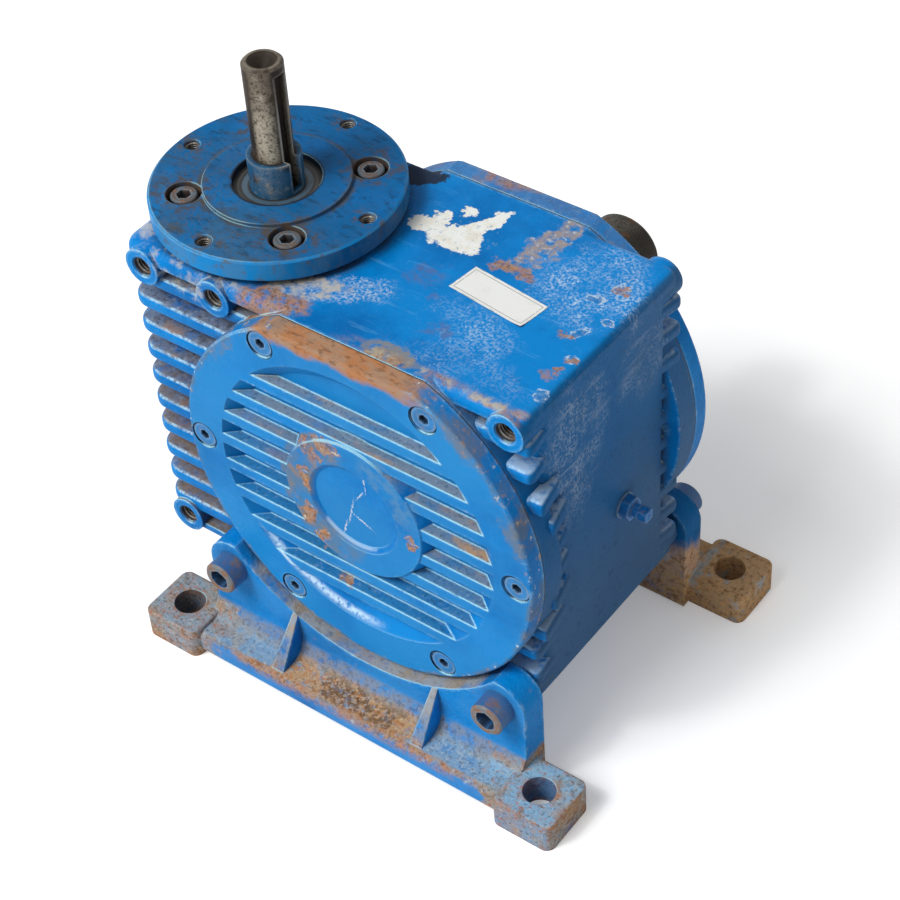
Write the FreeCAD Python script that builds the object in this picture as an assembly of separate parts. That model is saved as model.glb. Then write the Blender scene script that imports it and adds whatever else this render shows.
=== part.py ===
"""Worm gear reducer: an upright worm turns a bronze wheel inside a finned housing on two bolted feet.

Lengths are in millimetres. Every piece is drawn about the wheel's centre, with X along the front face,
Y along the output shaft and Z up the worm, and is lifted at the end so that the feet stand on Z = 0.
"""
import math
import os

import FreeCAD
import Part

# Gear pair
centre_distance = 112.0
gear_module = 6.0
wheel_teeth = 30
pressure_angle = math.radians(20.0)
gear_backlash = 0.5
gear_root_gap = 1.2
wheel_face_width = 36.0
wheel_lip_height = 1.5
worm_turns = 5
worm_thread_length = 72.0

# Housing
chamber_gap = 2.5
housing_half_width = 77.0
housing_half_height = 112.0
right_face = 112.0
left_wall = 22.0
deck_thickness = 9.0
deck_edge_round = 6.0
base_edge_round = 7.0
left_corner_round = 12.0
right_corner_round = 8.0
valley_corner_round = 7.0
joint_ring_depth = 16.0

# Cooling fins
fin_pitch = 20.0
fin_count = 10
fin_thickness = 9.6
fin_nose_round = 3.6
fin_depth = 13.0
fin_setback = 2.0
fin_flare = 3.0
fin_flare_length = 22.0
fin_corner_round = 5.0

# Tapped corner bosses
boss_radius = 12.0
boss_left_inset = 17.0
boss_hole_depth = 28.0
boss_mouth_radius = 7.2

# Covers
cover_thickness = 12.0
cover_screw_inset = 12.0
cover_edge = 10.5
cover_edge_chamfer = 1.0
cover_screw_count = 6
cover_pilot_depth = 6.0
dish_radius = 97.0
dish_depth = 7.0
dish_taper = 9.0
rib_pitch = 20.0
rib_count = 8
rib_width = 8.0
rib_draft = 0.8
ring_boss_radius = 48.0
ring_boss_rise = 1.0
ring_boss_taper = 4.0
ring_recess_radius = 31.5
ring_recess_depth = 2.5
ring_recess_taper = 3.0
bearing_hub_wall = 11.0
shaft_end_room = 4.0
bearing_shelf = 9.0

# Input flange
flange_radius = 75.0
flange_rim_thickness = 13.5
flange_hub_radius = 62.0
flange_hub_rise = 3.0
flange_edge_chamfer = 1.2
spigot_radius = 43.5
spigot_height = 2.2
flange_screw_circle = 53.8
flange_screw_count = 4
flange_tap_circle = 65.0
flange_tap_count = 4
flange_tap_radius = 4.25
flange_tap_mouth = 5.2
flange_counterbore_radius = 10.5
flange_head_sink = 0.6
pilot_wall = 7.0

# End cap under the worm
cap_radius = 54.0
cap_thickness = 11.0
cap_screw_circle = 45.0
cap_screw_count = 4

# Worm shaft
input_shaft_radius = 12.0
input_shaft_length = 62.0
input_shoulder_radius = 16.0
input_shoulder_stand = 20.0
worm_collar_radius = 22.0
worm_collar_length = 8.0
input_key_width = 8.0
input_key_depth = 4.0
input_key_end_gap = 6.0
input_centre_radius = 8.5
input_centre_depth = 7.5

# Output shaft
output_shaft_radius = 24.0
output_shaft_length = 100.0
output_shaft_step = 3.5
wheel_seat_radius = 29.0
wheel_key_width = 16.0
wheel_key_height = 10.0
output_key_width = 14.0
output_key_depth = 5.5
output_key_length = 80.0
output_key_end_gap = 6.0
output_key_turn = 45.0
output_centre_radius = 8.0
output_centre_depth = 7.0
shaft_chamfer = 1.5

# Wheel
wheel_hub_half_length = 30.0
wheel_hub_radius = 44.0
rim_inner_radius = 72.0
rim_web_radius = 56.0
rim_web_half_width = 6.0
wheel_bolt_circle = 64.0
wheel_bolt_count = 6
spacer_wall = 7.0

# Taper roller bearings
worm_bearing = dict(bore=17.5, outer=36.0, cone=17.0, cup=15.0, width=18.25, rollers=12,
                    slope=math.radians(14.0), roller_slope=math.radians(1.9))
wheel_bearing = dict(bore=25.0, outer=45.0, cone=20.0, cup=17.0, width=21.75, rollers=14,
                     slope=math.radians(15.6), roller_slope=math.radians(2.1))
worm_cup_depth = 6.25
wheel_cup_depth = 9.25
cup_lip = 3.3
cone_rib = 3.2
cone_rib_height = 2.4
cage_thickness = 1.4
cage_pocket_gap = 0.35

# Seals and gaskets
input_seal_radius = 26.0
input_seal_width = 8.0
input_seal_seat = 4.0
output_seal_radius = 36.0
output_seal_width = 10.0
output_seal_seat = 2.0
seal_shelf = 6.0
seal_lip_width = 3.0
gasket_thickness = 0.5

# Feet
axle_height = 165.0
foot_hole_x = 134.0
foot_hole_y = 105.5
foot_hole_radius = 10.0
foot_pad_length = 42.0
foot_pad_width = 42.0
foot_pad_thickness = 21.5
foot_pad_round = 6.0
foot_pad_edge_round = 2.0
foot_bar_drop = 2.5
foot_bar_inset = 5.0
foot_bar_round = 4.0
foot_plate_thickness = 18.0
foot_root_round = 14.0
foot_ear_radius = 18.0
foot_arc_gap = 4.0
gusset_x = 53.0
gusset_base_width = 9.0
gusset_top_width = 4.0

# Fasteners: radius of shank, thread core and head, head height, socket across flats and depth, threaded reach
cover_screw = dict(radius=4.0, core=3.35, head=8.3, height=0.4, socket=6.0, deep=3.0, reach=12.0)
flange_screw = dict(radius=5.0, core=4.2, head=8.0, height=10.0, socket=8.0, deep=5.0, reach=18.0)
cap_screw = dict(radius=4.0, core=3.35, head=6.5, height=8.0, socket=6.0, deep=4.0, reach=16.0)
foot_bolt = dict(radius=7.0, core=5.95, head=11.0, height=14.0, socket=12.0, deep=7.0, reach=22.0)
wheel_bolt = dict(radius=4.0, core=3.35, head=6.5, height=8.0, socket=6.0, deep=4.0, reach=10.0)
screw_head_gap = 0.45
screw_head_sink = 0.7
screw_hole_gap = 0.5
thread_gap = 0.05
rear_thread_gap = 0.25
hole_spare = 2.0

# Oil plug on the right face
plug_y = 17.0
plug_z = -24.0
bushing_rim_radius = 8.4
bushing_rim_length = 1.2
bushing_flats = 13.5
bushing_length = 7.0
bushing_thread_radius = 5.5
plug_thread_radius = 3.2
plug_thread_length = 8.0
plug_collar_radius = 4.2
plug_collar_length = 4.5
plug_square = 7.0
plug_head_length = 6.0

# Fits
press_gap = 0.02
pilot_gap = 0.03
running_gap = 0.05

# Sizes that follow
wheel_pitch_radius = gear_module * wheel_teeth / 2
worm_pitch_radius = centre_distance - wheel_pitch_radius
worm_tip_radius = worm_pitch_radius + gear_module
worm_root_radius = worm_pitch_radius - gear_module - gear_root_gap
axial_pitch = math.pi * gear_module
throat_radius = wheel_pitch_radius + gear_module
wheel_outer_radius = throat_radius + wheel_lip_height
chamber_radius = wheel_outer_radius + chamber_gap
worm_bore_radius = worm_bearing["outer"] + press_gap
left_face = -(centre_distance + worm_bearing["outer"] + left_wall)
crest_half_width = housing_half_width - fin_setback
valley_half_width = crest_half_width - fin_depth
cover_screw_circle = chamber_radius + cover_screw_inset
cover_radius = cover_screw_circle + cover_edge
cover_seat = housing_half_width + gasket_thickness
cover_face = cover_seat + cover_thickness
wheel_cup_face = housing_half_width - wheel_cup_depth
wheel_shoulder = wheel_cup_face - wheel_bearing["width"]
worm_cup_face = housing_half_height - worm_cup_depth
worm_shoulder = worm_cup_face - worm_bearing["width"]
flange_seat = housing_half_height + gasket_thickness
flange_top = flange_seat + flange_hub_rise + flange_rim_thickness
flange_head_seat = flange_top - flange_head_sink - flange_screw["height"]
input_shoulder_top = flange_top + input_shoulder_stand
input_shaft_top = input_shoulder_top + input_shaft_length
output_shaft_shoulder = cover_face + output_shaft_step
output_shaft_end = output_shaft_shoulder + output_shaft_length
front_shaft_end = wheel_cup_face + running_gap
boss_left_x = left_face + boss_left_inset
boss_x = right_face - boss_radius
boss_z = housing_half_height - boss_radius
pad_top = foot_pad_thickness - axle_height
bar_top = pad_top - foot_bar_drop
bar_bottom = foot_bar_drop - axle_height
plate_front = -housing_half_width - foot_plate_thickness
pad_front = -foot_hole_y - foot_pad_width / 2
foot_arc_radius = cover_radius + foot_arc_gap
worm_axis_x = -centre_distance
input_seal_low = flange_top + spigot_height - input_seal_seat - input_seal_width
output_seal_low = cover_thickness + ring_boss_rise - output_seal_seat - output_seal_width


def V(x, y, z):
    """A point or a direction."""
    return FreeCAD.Vector(x, y, z)


UP = V(0, 0, 1)
FRONT = V(0, -1, 0)
REAR = V(0, 1, 0)
RIGHT = V(1, 0, 0)
DOWN = V(0, 0, -1)
CENTRE = V(0, 0, 0)


# Drawing helpers
def along_y(radius, start, end, x=0.0, z=0.0):
    """Round bar along Y."""
    return Part.makeCylinder(radius, end - start, V(x, start, z), REAR)


def along_z(radius, start, end, x=0.0, y=0.0):
    """Round bar along Z."""
    return Part.makeCylinder(radius, end - start, V(x, y, start), UP)


def turned(profile):
    """Body of revolution about Z from (radius, height) corners."""
    corners = [V(radius, 0, height) for radius, height in profile]
    return Part.Face(Part.makePolygon(corners + corners[:1])).revolve(CENTRE, UP, 360)


def placed(shape, place, direction=UP):
    """Copy of a piece drawn about Z, stood at a place with its Z along a direction."""
    turn = FreeCAD.Placement(place, FreeCAD.Rotation(UP, direction))
    return shape.transformed(turn.toMatrix(), True)


def on_worm(shape):
    """Piece drawn about Z, moved to the worm's axis."""
    return placed(shape, V(worm_axis_x, 0, 0))


def prism(corners, lift):
    """Straight extrusion of a flat outline."""
    return Part.Face(Part.makePolygon(corners + corners[:1])).extrude(lift)


def block(low, high):
    """Box between two corners."""
    size = high - low
    return Part.makeBox(size.x, size.y, size.z, low)


def polygon_bar(sides, across_flats, start, end):
    """Upright bar with a regular outline, such as a hexagon or a square."""
    reach = across_flats / 2 / math.cos(math.pi / sides)
    angles = [2 * math.pi * (k + 0.5) / sides for k in range(sides)]
    return prism([V(reach * math.cos(a), reach * math.sin(a), start) for a in angles], V(0, 0, end - start))


def around(count, radius, first=0.0):
    """Evenly spaced places on a circle, as pairs."""
    angles = [first + 2 * math.pi * k / count for k in range(count)]
    return [(radius * math.cos(a), radius * math.sin(a)) for a in angles]


def joined(shapes):
    """One solid from pieces that run into each other."""
    return shapes[0].fuse(shapes[1:]).removeSplitter()


def rear_copy(shape):
    """The same piece on the rear side."""
    return shape.mirror(CENTRE, REAR)


def edges_at(shape, test):
    """Edges whose middle point passes a test."""
    middles = [(edge, edge.valueAt((edge.FirstParameter + edge.LastParameter) / 2)) for edge in shape.Edges]
    return [edge for edge, middle in middles if test(middle)]


def group(shapes):
    """Separate solids kept in one node."""
    return Part.makeCompound(shapes)


# Fasteners, drawn about Z
def socket_cap_screw(size, grip):
    """Socket head screw with its seat at Z = 0, gripping a thickness below it."""
    bevel = size["height"] / 12
    end = -grip - size["reach"]
    profile = [(0, end), (size["core"], end), (size["core"], -grip), (size["radius"], -grip), (size["radius"], 0)]
    profile += [(size["head"], 0), (size["head"], size["height"] - bevel)]
    profile += [(size["head"] - bevel, size["height"]), (0, size["height"])]
    return turned(profile).cut(polygon_bar(6, size["socket"], size["height"] - size["deep"], size["height"]))


def countersunk_screw(size, grip):
    """Flat head screw with its face at Z = 0, gripping a thickness below it."""
    end = -grip - size["reach"]
    cone = size["head"] - size["radius"] + size["height"]
    profile = [(0, end), (size["core"], end), (size["core"], -grip), (size["radius"], -grip)]
    profile += [(size["radius"], -cone), (size["head"], -size["height"]), (size["head"], 0), (0, 0)]
    return turned(profile).cut(polygon_bar(6, size["socket"], -size["deep"], 0))


def countersink(size, grip):
    """Cutter for a flat head screw whose head lies a little below the face."""
    head = size["head"] + screw_head_gap
    hole = size["radius"] + screw_hole_gap
    low = -screw_head_sink - size["height"]
    return turned([(0, -grip), (hole, -grip), (hole, low - head + hole), (head, low), (head, 0), (0, 0)])


def tapped_hole(size):
    """Cutter for the blind hole that a screw's thread turns into, with its mouth at Z = 0."""
    return along_z(size["core"] + thread_gap, -size["reach"] - hole_spare, 0)


# Worm
def thread_half_width(radius):
    """Half of the worm thread's axial thickness at a radius."""
    return axial_pitch / 4 + (worm_pitch_radius - radius) * math.tan(pressure_angle)


def worm_thread():
    """Helical thread rooted in the worm's core, with its ends bevelled off, about Z."""
    rooted = worm_root_radius - gear_root_gap
    corners = [V(rooted, 0, -thread_half_width(rooted)), V(worm_tip_radius, 0, -thread_half_width(worm_tip_radius))]
    corners += [V(corner.x, 0, -corner.z) for corner in reversed(corners)]
    path = Part.makeHelix(axial_pitch, worm_turns * axial_pitch, worm_pitch_radius)
    thread = Part.Wire(path).makePipeShell([Part.makePolygon(corners + corners[:1])], True, True)
    thread.translate(V(0, 0, -worm_turns * axial_pitch / 2))
    half = worm_thread_length / 2
    clear = worm_tip_radius + gear_root_gap
    slope = clear - worm_root_radius
    blank = [(0, -half), (worm_root_radius, -half), (clear, slope - half)]
    blank += [(clear, half - slope), (worm_root_radius, half), (0, half)]
    return thread.common(turned(blank))


def worm_shaft():
    """Worm with its bearing seats, input shoulder and open keyway."""
    seat = worm_bearing["bore"] - press_gap
    end = -worm_cup_face - running_gap
    inner_collar = worm_shoulder - worm_collar_length
    profile = [(0, end), (seat - shaft_chamfer, end), (seat, end + shaft_chamfer), (seat, -worm_shoulder)]
    profile += [(worm_collar_radius, -worm_shoulder), (worm_collar_radius, -inner_collar)]
    profile += [(worm_root_radius, -inner_collar), (worm_root_radius, inner_collar)]
    profile += [(worm_collar_radius, inner_collar), (worm_collar_radius, worm_shoulder)]
    profile += [(seat, worm_shoulder), (seat, worm_cup_face), (input_shoulder_radius, worm_cup_face)]
    profile += [(input_shoulder_radius, input_shoulder_top), (input_shaft_radius, input_shoulder_top)]
    profile += [(input_shaft_radius, input_shaft_top - shaft_chamfer)]
    profile += [(input_shaft_radius - shaft_chamfer, input_shaft_top), (input_centre_radius, input_shaft_top)]
    profile += [(0, input_shaft_top - input_centre_depth)]
    keyway_floor = input_shaft_radius - input_key_depth
    keyway = block(V(keyway_floor, -input_key_width / 2, flange_top),
                   V(input_shoulder_radius + input_key_depth, input_key_width / 2, input_shaft_top - input_key_end_gap))
    return turned(profile).fuse(worm_thread()).cut(keyway).Solids[0]


# Wheel
def wheel_flank(depth, side):
    """Corner of a wheel tooth space in the middle plane, cut by the worm's flank at a depth from its axis.

    There the turning worm is a rack that slides along Z. It touches the wheel where the rack's normal
    passes through the pitch point, and the wheel has by then turned with the rack's travel.
    """
    height = side * (thread_half_width(depth) + gear_backlash / 2)
    travel = side * (depth - worm_pitch_radius) / math.tan(pressure_angle) - height
    turn = travel / wheel_pitch_radius
    across, up = depth - centre_distance, height + travel
    return V(across * math.cos(turn) - up * math.sin(turn), 0, across * math.sin(turn) + up * math.cos(turn))


def wheel_tooth_space():
    """Slanted cutter for one tooth space, beside the worm."""
    root_depth = worm_tip_radius + gear_root_gap
    depths = [worm_pitch_radius + gear_module * step for step in (-1.2, -0.5, 0.3)] + [root_depth]
    outline = [wheel_flank(depth, 1) for depth in depths]
    floor = V(root_depth - centre_distance, 0, outline[-1].z * 0.8)
    outline.append(floor)
    outline += [V(corner.x, 0, -corner.z) for corner in reversed(outline)]
    slant = axial_pitch / (2 * math.pi * worm_pitch_radius)
    run = wheel_face_width + 2 * gear_root_gap
    space = prism(outline, V(0, run, run * slant))
    space.translate(V(0, -run / 2, -run * slant / 2))
    return space


def wheel_rim():
    """Bronze toothed rim with a throat that wraps the worm and a web for the bolts."""
    half = wheel_face_width / 2
    throat_reach = centre_distance - throat_radius
    lip_reach = centre_distance - wheel_outer_radius
    throat_half = math.sqrt(throat_reach ** 2 - lip_reach ** 2)
    corners = [(wheel_outer_radius, throat_half), (wheel_outer_radius, half), (rim_inner_radius, half)]
    corners += [(rim_inner_radius, rim_web_half_width), (rim_web_radius, rim_web_half_width)]
    corners += [(radius, -along) for radius, along in reversed(corners)]
    points = [V(radius, along, 0) for radius, along in corners]
    edges = [Part.makeLine(start, end) for start, end in zip(points, points[1:])]
    edges.append(Part.Arc(points[-1], V(throat_radius, 0, 0), points[0]).toShape())
    blank = Part.Face(Part.Wire(edges)).revolve(CENTRE, REAR, 360)
    space = wheel_tooth_space()
    spaces = []
    for tooth in range(wheel_teeth):
        copy = space.copy()
        copy.rotate(CENTRE, REAR, (tooth + 0.5) * 360 / wheel_teeth)
        spaces.append(copy)
    holes = [along_y(wheel_bolt["radius"] + screw_hole_gap, -half, half, x, z)
             for x, z in around(wheel_bolt_count, wheel_bolt_circle)]
    return blank.cut(spaces + holes)


def wheel_centre():
    """Iron centre that carries the bronze rim on a register and a bolted flange."""
    half = wheel_face_width / 2
    web = rim_web_half_width + pilot_gap
    hub = along_y(wheel_hub_radius, -wheel_hub_half_length, wheel_hub_half_length)
    register = along_y(rim_web_radius - pilot_gap, -half, rim_web_half_width)
    flange = along_y(rim_inner_radius - screw_hole_gap, -half, -web)
    bore = along_y(wheel_seat_radius + press_gap, -wheel_hub_half_length, wheel_hub_half_length)
    holes = [placed(tapped_hole(wheel_bolt), V(x, -web, z), REAR)
             for x, z in around(wheel_bolt_count, wheel_bolt_circle)]
    return joined([hub, register, flange]).cut([bore, wheel_key_slot(press_gap)] + holes)


def wheel_key_slot(gap):
    """Key between the wheel and its shaft, or the slot for it, with a gap all round."""
    half_width = wheel_key_width / 2 + gap
    low = wheel_seat_radius - wheel_key_height / 2 - gap
    high = wheel_seat_radius + wheel_key_height / 2 + gap
    return block(V(-half_width, -wheel_hub_half_length, low), V(half_width, wheel_hub_half_length, high))


def wheel_bolts():
    """Cap screws that hold the rim to its centre."""
    screw = socket_cap_screw(wheel_bolt, 2 * rim_web_half_width + pilot_gap)
    return group([placed(screw, V(x, rim_web_half_width, z), REAR)
                  for x, z in around(wheel_bolt_count, wheel_bolt_circle)])


def output_shaft():
    """Shaft that carries the wheel and leaves through the rear cover."""
    seat = wheel_bearing["bore"] - press_gap
    profile = [(0, -front_shaft_end), (seat - shaft_chamfer, -front_shaft_end)]
    profile += [(seat, shaft_chamfer - front_shaft_end), (seat, -wheel_hub_half_length)]
    profile += [(wheel_seat_radius, -wheel_hub_half_length), (wheel_seat_radius, wheel_hub_half_length)]
    profile += [(seat, wheel_hub_half_length), (seat, output_shaft_shoulder)]
    profile += [(output_shaft_radius, output_shaft_shoulder)]
    profile += [(output_shaft_radius, output_shaft_end - shaft_chamfer)]
    profile += [(output_shaft_radius - shaft_chamfer, output_shaft_end), (output_centre_radius, output_shaft_end)]
    profile += [(0, output_shaft_end - output_centre_depth)]
    shaft = placed(turned(profile), CENTRE, REAR)
    slot_end = output_shaft_end - output_key_end_gap
    slot_start = slot_end - output_key_length
    half_width = output_key_width / 2
    floor = output_key_depth - output_shaft_radius
    slot = block(V(-half_width, slot_start + half_width, -output_shaft_radius - half_width),
                 V(half_width, slot_end - half_width, floor))
    keyway = [slot] + [along_z(half_width, -output_shaft_radius - half_width, floor, 0, y)
                       for y in (slot_start + half_width, slot_end - half_width)]
    for cutter in keyway:
        cutter.rotate(CENTRE, REAR, output_key_turn)
    return shaft.cut(keyway + [wheel_key_slot(press_gap)])


def spacer():
    """Sleeve between the wheel's hub and a bearing cone, on the front side."""
    bore = wheel_bearing["bore"] + press_gap
    outside = along_y(bore + spacer_wall, -wheel_shoulder, -wheel_hub_half_length)
    return outside.cut(along_y(bore, -wheel_shoulder, -wheel_hub_half_length))


# Taper roller bearings, drawn about Z with the cone's shoulder at Z = 0 and the cup's thrust face on top
def bearing_apex(size):
    """Height where all the rolling lines meet on the axis."""
    return size["width"] - size["cup"] + (size["outer"] - cup_lip) / math.tan(size["slope"])


def bearing_cup(size):
    """Outer ring with a sloping track."""
    apex = bearing_apex(size)
    low, high = size["width"] - size["cup"], size["width"]
    track = math.tan(size["slope"])
    return turned([((apex - low) * track, low), (size["outer"], low), (size["outer"], high), ((apex - high) * track, high)])


def bearing_cone(size):
    """Inner ring with a sloping track between two ribs."""
    apex = bearing_apex(size)
    track = math.tan(size["slope"] - 2 * size["roller_slope"])
    low, high = cone_rib, size["cone"] - cone_rib / 2
    low_radius, high_radius = (apex - low) * track, (apex - high) * track
    return turned([(size["bore"], 0), (low_radius + cone_rib_height, 0), (low_radius + cone_rib_height, low),
                   (low_radius, low), (high_radius, high), (high_radius + cone_rib_height / 2, high),
                   (high_radius + cone_rib_height / 2, size["cone"]), (size["bore"], size["cone"])])


def bearing_rollers(size, gap):
    """Tapered rollers, short of their tracks by a gap all round."""
    apex = bearing_apex(size)
    lean = size["slope"] - size["roller_slope"]
    near = (apex - size["cone"] + cone_rib / 2 + cone_rib_height / 4 + gap) / math.cos(lean)
    far = (apex - cone_rib - cone_rib_height / 2 - gap) / math.cos(lean)
    swell = math.tan(size["roller_slope"])
    rollers = []
    for across, along in around(size["rollers"], math.sin(lean)):
        direction = V(across, along, -math.cos(lean))
        start = V(0, 0, apex) + direction * near
        rollers.append(Part.makeCone(near * swell - gap, far * swell - gap, far - near, start, direction))
    return rollers


def bearing_cage(size):
    """Sheet cage with a pocket for each roller."""
    apex = bearing_apex(size)
    track = math.tan(size["slope"] - size["roller_slope"])
    low, high = cone_rib / 2, size["cone"]
    half = cage_thickness / 2
    low_radius, high_radius = (apex - low) * track, (apex - high) * track
    sheet = turned([(low_radius - half, low), (low_radius + half, low), (high_radius + half, high), (high_radius - half, high)])
    return sheet.cut(bearing_rollers(size, -cage_pocket_gap))


def bearing_pieces(size, place, direction):
    """All pieces of one bearing, by name, with its shoulder at a place."""
    shapes = dict(cup=bearing_cup(size), cone=bearing_cone(size), cage=bearing_cage(size),
                  rollers=group(bearing_rollers(size, running_gap)))
    return {name: placed(shape, place, direction) for name, shape in shapes.items()}


# Seals and gaskets
def oil_seal(outer, shaft, width):
    """Radial lip seal about Z, with its dry face on top."""
    lip = shaft + running_gap
    rim = outer - press_gap
    wall = seal_lip_width
    return turned([(lip, width), (rim, width), (rim, 0), (rim - wall, 0), (rim - wall, width - wall),
                   (lip + wall, width - wall), (lip + wall, wall), (lip, wall)])


def gasket(inner, outer, holes, hole_radius):
    """Flat joint ring about Z with screw holes."""
    sheet = along_z(outer, 0, gasket_thickness).cut(along_z(inner, 0, gasket_thickness))
    return sheet.cut([along_z(hole_radius, 0, gasket_thickness, x, y) for x, y in holes])


def front_gasket():
    """Joint behind the front cover."""
    places = around(cover_screw_count, cover_screw_circle)
    ring = gasket(chamber_radius, cover_radius, places, cover_screw["radius"] + screw_hole_gap)
    return placed(ring, V(0, -housing_half_width, 0), FRONT).common(below_deck())


# Housing
def below_deck():
    """Everything up to the level of the housing's top."""
    reach = 2 * cover_radius
    return block(V(-reach, -reach, -reach), V(reach, reach, housing_half_height))


def deck():
    """Top plate with rounded corners and a rounded upper edge."""
    low = housing_half_height - deck_thickness
    plate = block(V(left_face, -crest_half_width, low), V(right_face, crest_half_width, housing_half_height))
    middle = housing_half_height - deck_thickness / 2
    for corner_x, size in ((left_face, left_corner_round), (right_face, right_corner_round)):
        upright = edges_at(plate, lambda point: abs(point.z - middle) < 0.1 and abs(point.x - corner_x) < 0.1)
        plate = plate.makeFillet(size, upright)
    return plate.makeFillet(deck_edge_round, edges_at(plate, lambda point: point.z > housing_half_height - 0.1))


def fin():
    """Cooling fin round the whole housing at mid height, with flared right corners and a rounded nose."""
    flare_x = right_face + fin_flare
    flare_y = crest_half_width - fin_flare_length
    corners = [(left_face, -crest_half_width), (flare_x, -crest_half_width), (right_face, -flare_y)]
    corners += [(x, -y) for x, y in reversed(corners)]
    half = fin_thickness / 2
    plate = prism([V(x, y, -half) for x, y in corners], V(0, 0, fin_thickness))
    for corner_x, size in ((left_face, left_corner_round), (flare_x, fin_corner_round)):
        upright = edges_at(plate, lambda point: abs(point.z) < 0.1 and abs(point.x - corner_x) < 0.1)
        plate = plate.makeFillet(size, upright)
    return plate.makeFillet(fin_nose_round, edges_at(plate, lambda point: abs(abs(point.z) - half) < 0.1))


def boss_places():
    """Tapped corner bosses on one side, as (X, Z) pairs."""
    return [(x, z) for x in (boss_left_x, -boss_x, boss_x) for z in (-boss_z, boss_z)]


def boss_hole(gap):
    """Cutter for a tapped hole with a countersunk mouth at Z = 0."""
    core = foot_bolt["core"] + gap
    return turned([(0, -boss_hole_depth), (core, -boss_hole_depth), (core, core - boss_mouth_radius),
                   (boss_mouth_radius, 0), (0, 0)])


def front_housing_cuts(boss_gap):
    """Tapped holes in the front side."""
    face = -housing_half_width
    cuts = [placed(boss_hole(boss_gap), V(x, face, z), FRONT) for x, z in boss_places()]
    cuts += [placed(tapped_hole(cover_screw), V(x, face, z), FRONT)
             for x, z in around(cover_screw_count, cover_screw_circle)]
    return cuts


def housing():
    """Finned casting with the wheel chamber, the upright worm bore and all its tapped holes."""
    middle = housing_half_height - deck_thickness / 2
    core = block(V(left_face + fin_depth, -valley_half_width, -middle), V(right_face, valley_half_width, middle))
    core = core.makeFillet(valley_corner_round, edges_at(core, lambda point: abs(point.z) < 0.1 and point.x > 0))
    top = deck()
    pieces = [core, top, top.mirror(CENTRE, UP)]
    plain_fin = fin()
    for level in range(fin_count):
        copy = plain_fin.copy()
        copy.translate(V(0, 0, fin_pitch * (level - (fin_count - 1) / 2)))
        pieces.append(copy)
    front = [along_y(boss_radius, -housing_half_width, boss_hole_depth + hole_spare - housing_half_width, x, z)
             for x, z in boss_places()]
    ring = along_y(cover_radius, -housing_half_width, joint_ring_depth - housing_half_width)
    front.append(ring.common(below_deck()))
    pieces += front + [rear_copy(piece) for piece in front]
    cuts = [along_y(chamber_radius, -housing_half_width, housing_half_width)]
    cuts.append(along_z(worm_bore_radius, -housing_half_height, housing_half_height, worm_axis_x))
    cuts += front_housing_cuts(thread_gap)
    cuts += [rear_copy(cut) for cut in front_housing_cuts(rear_thread_gap)]
    cuts += [placed(tapped_hole(flange_screw), V(worm_axis_x + x, y, housing_half_height))
             for x, y in around(flange_screw_count, flange_screw_circle, math.pi / 4)]
    cuts += [placed(tapped_hole(cap_screw), V(worm_axis_x + x, y, -housing_half_height), DOWN)
             for x, y in around(cap_screw_count, cap_screw_circle, math.pi / 4)]
    wall = right_face - chamber_radius
    cuts.append(Part.makeCylinder(bushing_thread_radius + thread_gap, 2 * wall,
                                  V(right_face - 2 * wall, plug_y, plug_z), RIGHT))
    return joined(pieces).cut(cuts)


# Covers
def cover_blank():
    """Ribbed and dished cover about Z, with its seat at Z = 0 and its face on top."""
    face = cover_thickness
    floor = face - dish_depth
    edge = cover_radius - cover_edge_chamfer
    disc = turned([(0, 0), (cover_radius, 0), (cover_radius, face - cover_edge_chamfer), (edge, face), (0, face)])
    dish = turned([(0, floor), (dish_radius - dish_taper, floor), (dish_radius, face), (0, face)])
    boss_top = face + ring_boss_rise
    boss = turned([(0, floor), (ring_boss_radius + ring_boss_taper, floor), (ring_boss_radius, boss_top), (0, boss_top)])
    pieces = [disc.cut(dish), boss]
    inside = along_z(dish_radius + cover_edge_chamfer, 0, face)
    for index in range(rib_count):
        crest = rib_pitch * ((rib_count - 1) / 2 - index)
        rib = prism([V(-cover_radius, crest, face), V(-cover_radius, crest + rib_draft, floor),
                     V(-cover_radius, crest - rib_width - rib_draft, floor), V(-cover_radius, crest - rib_width, face)],
                    V(2 * cover_radius, 0, 0))
        pieces.append(rib.common(inside))
    pieces.append(along_z(chamber_radius - pilot_gap, -cover_pilot_depth, 0))
    pieces.append(along_z(wheel_bearing["outer"] + bearing_hub_wall, cover_level(wheel_cup_face - wheel_bearing["cup"]), 0))
    flat = block(V(-2 * cover_radius, housing_half_height, -cover_radius), V(2 * cover_radius, 2 * cover_radius, cover_radius))
    cuts = [flat, along_z(wheel_bearing["outer"] + press_gap, cover_level(wheel_shoulder), cover_level(wheel_cup_face))]
    for x, y in around(cover_screw_count, cover_screw_circle):
        cuts.append(placed(countersink(cover_screw, cover_thickness), V(x, y, face)))
    return joined(pieces).cut(cuts)


def cover_level(half_width):
    """Height in a cover's own frame of a plane at some distance from the housing's middle."""
    return half_width - cover_seat


def front_cover():
    """Blind cover with a shallow disc in its middle and room for the shaft's end inside."""
    face = cover_thickness + ring_boss_rise
    disc = turned([(0, face - ring_recess_depth), (ring_recess_radius - ring_recess_taper, face - ring_recess_depth),
                   (ring_recess_radius, face), (0, face)])
    room = along_z(wheel_bearing["outer"] - bearing_shelf, cover_level(wheel_cup_face),
                   cover_level(wheel_cup_face) + shaft_end_room)
    return placed(cover_blank().cut([disc, room]), V(0, -cover_seat, 0), FRONT)


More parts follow.
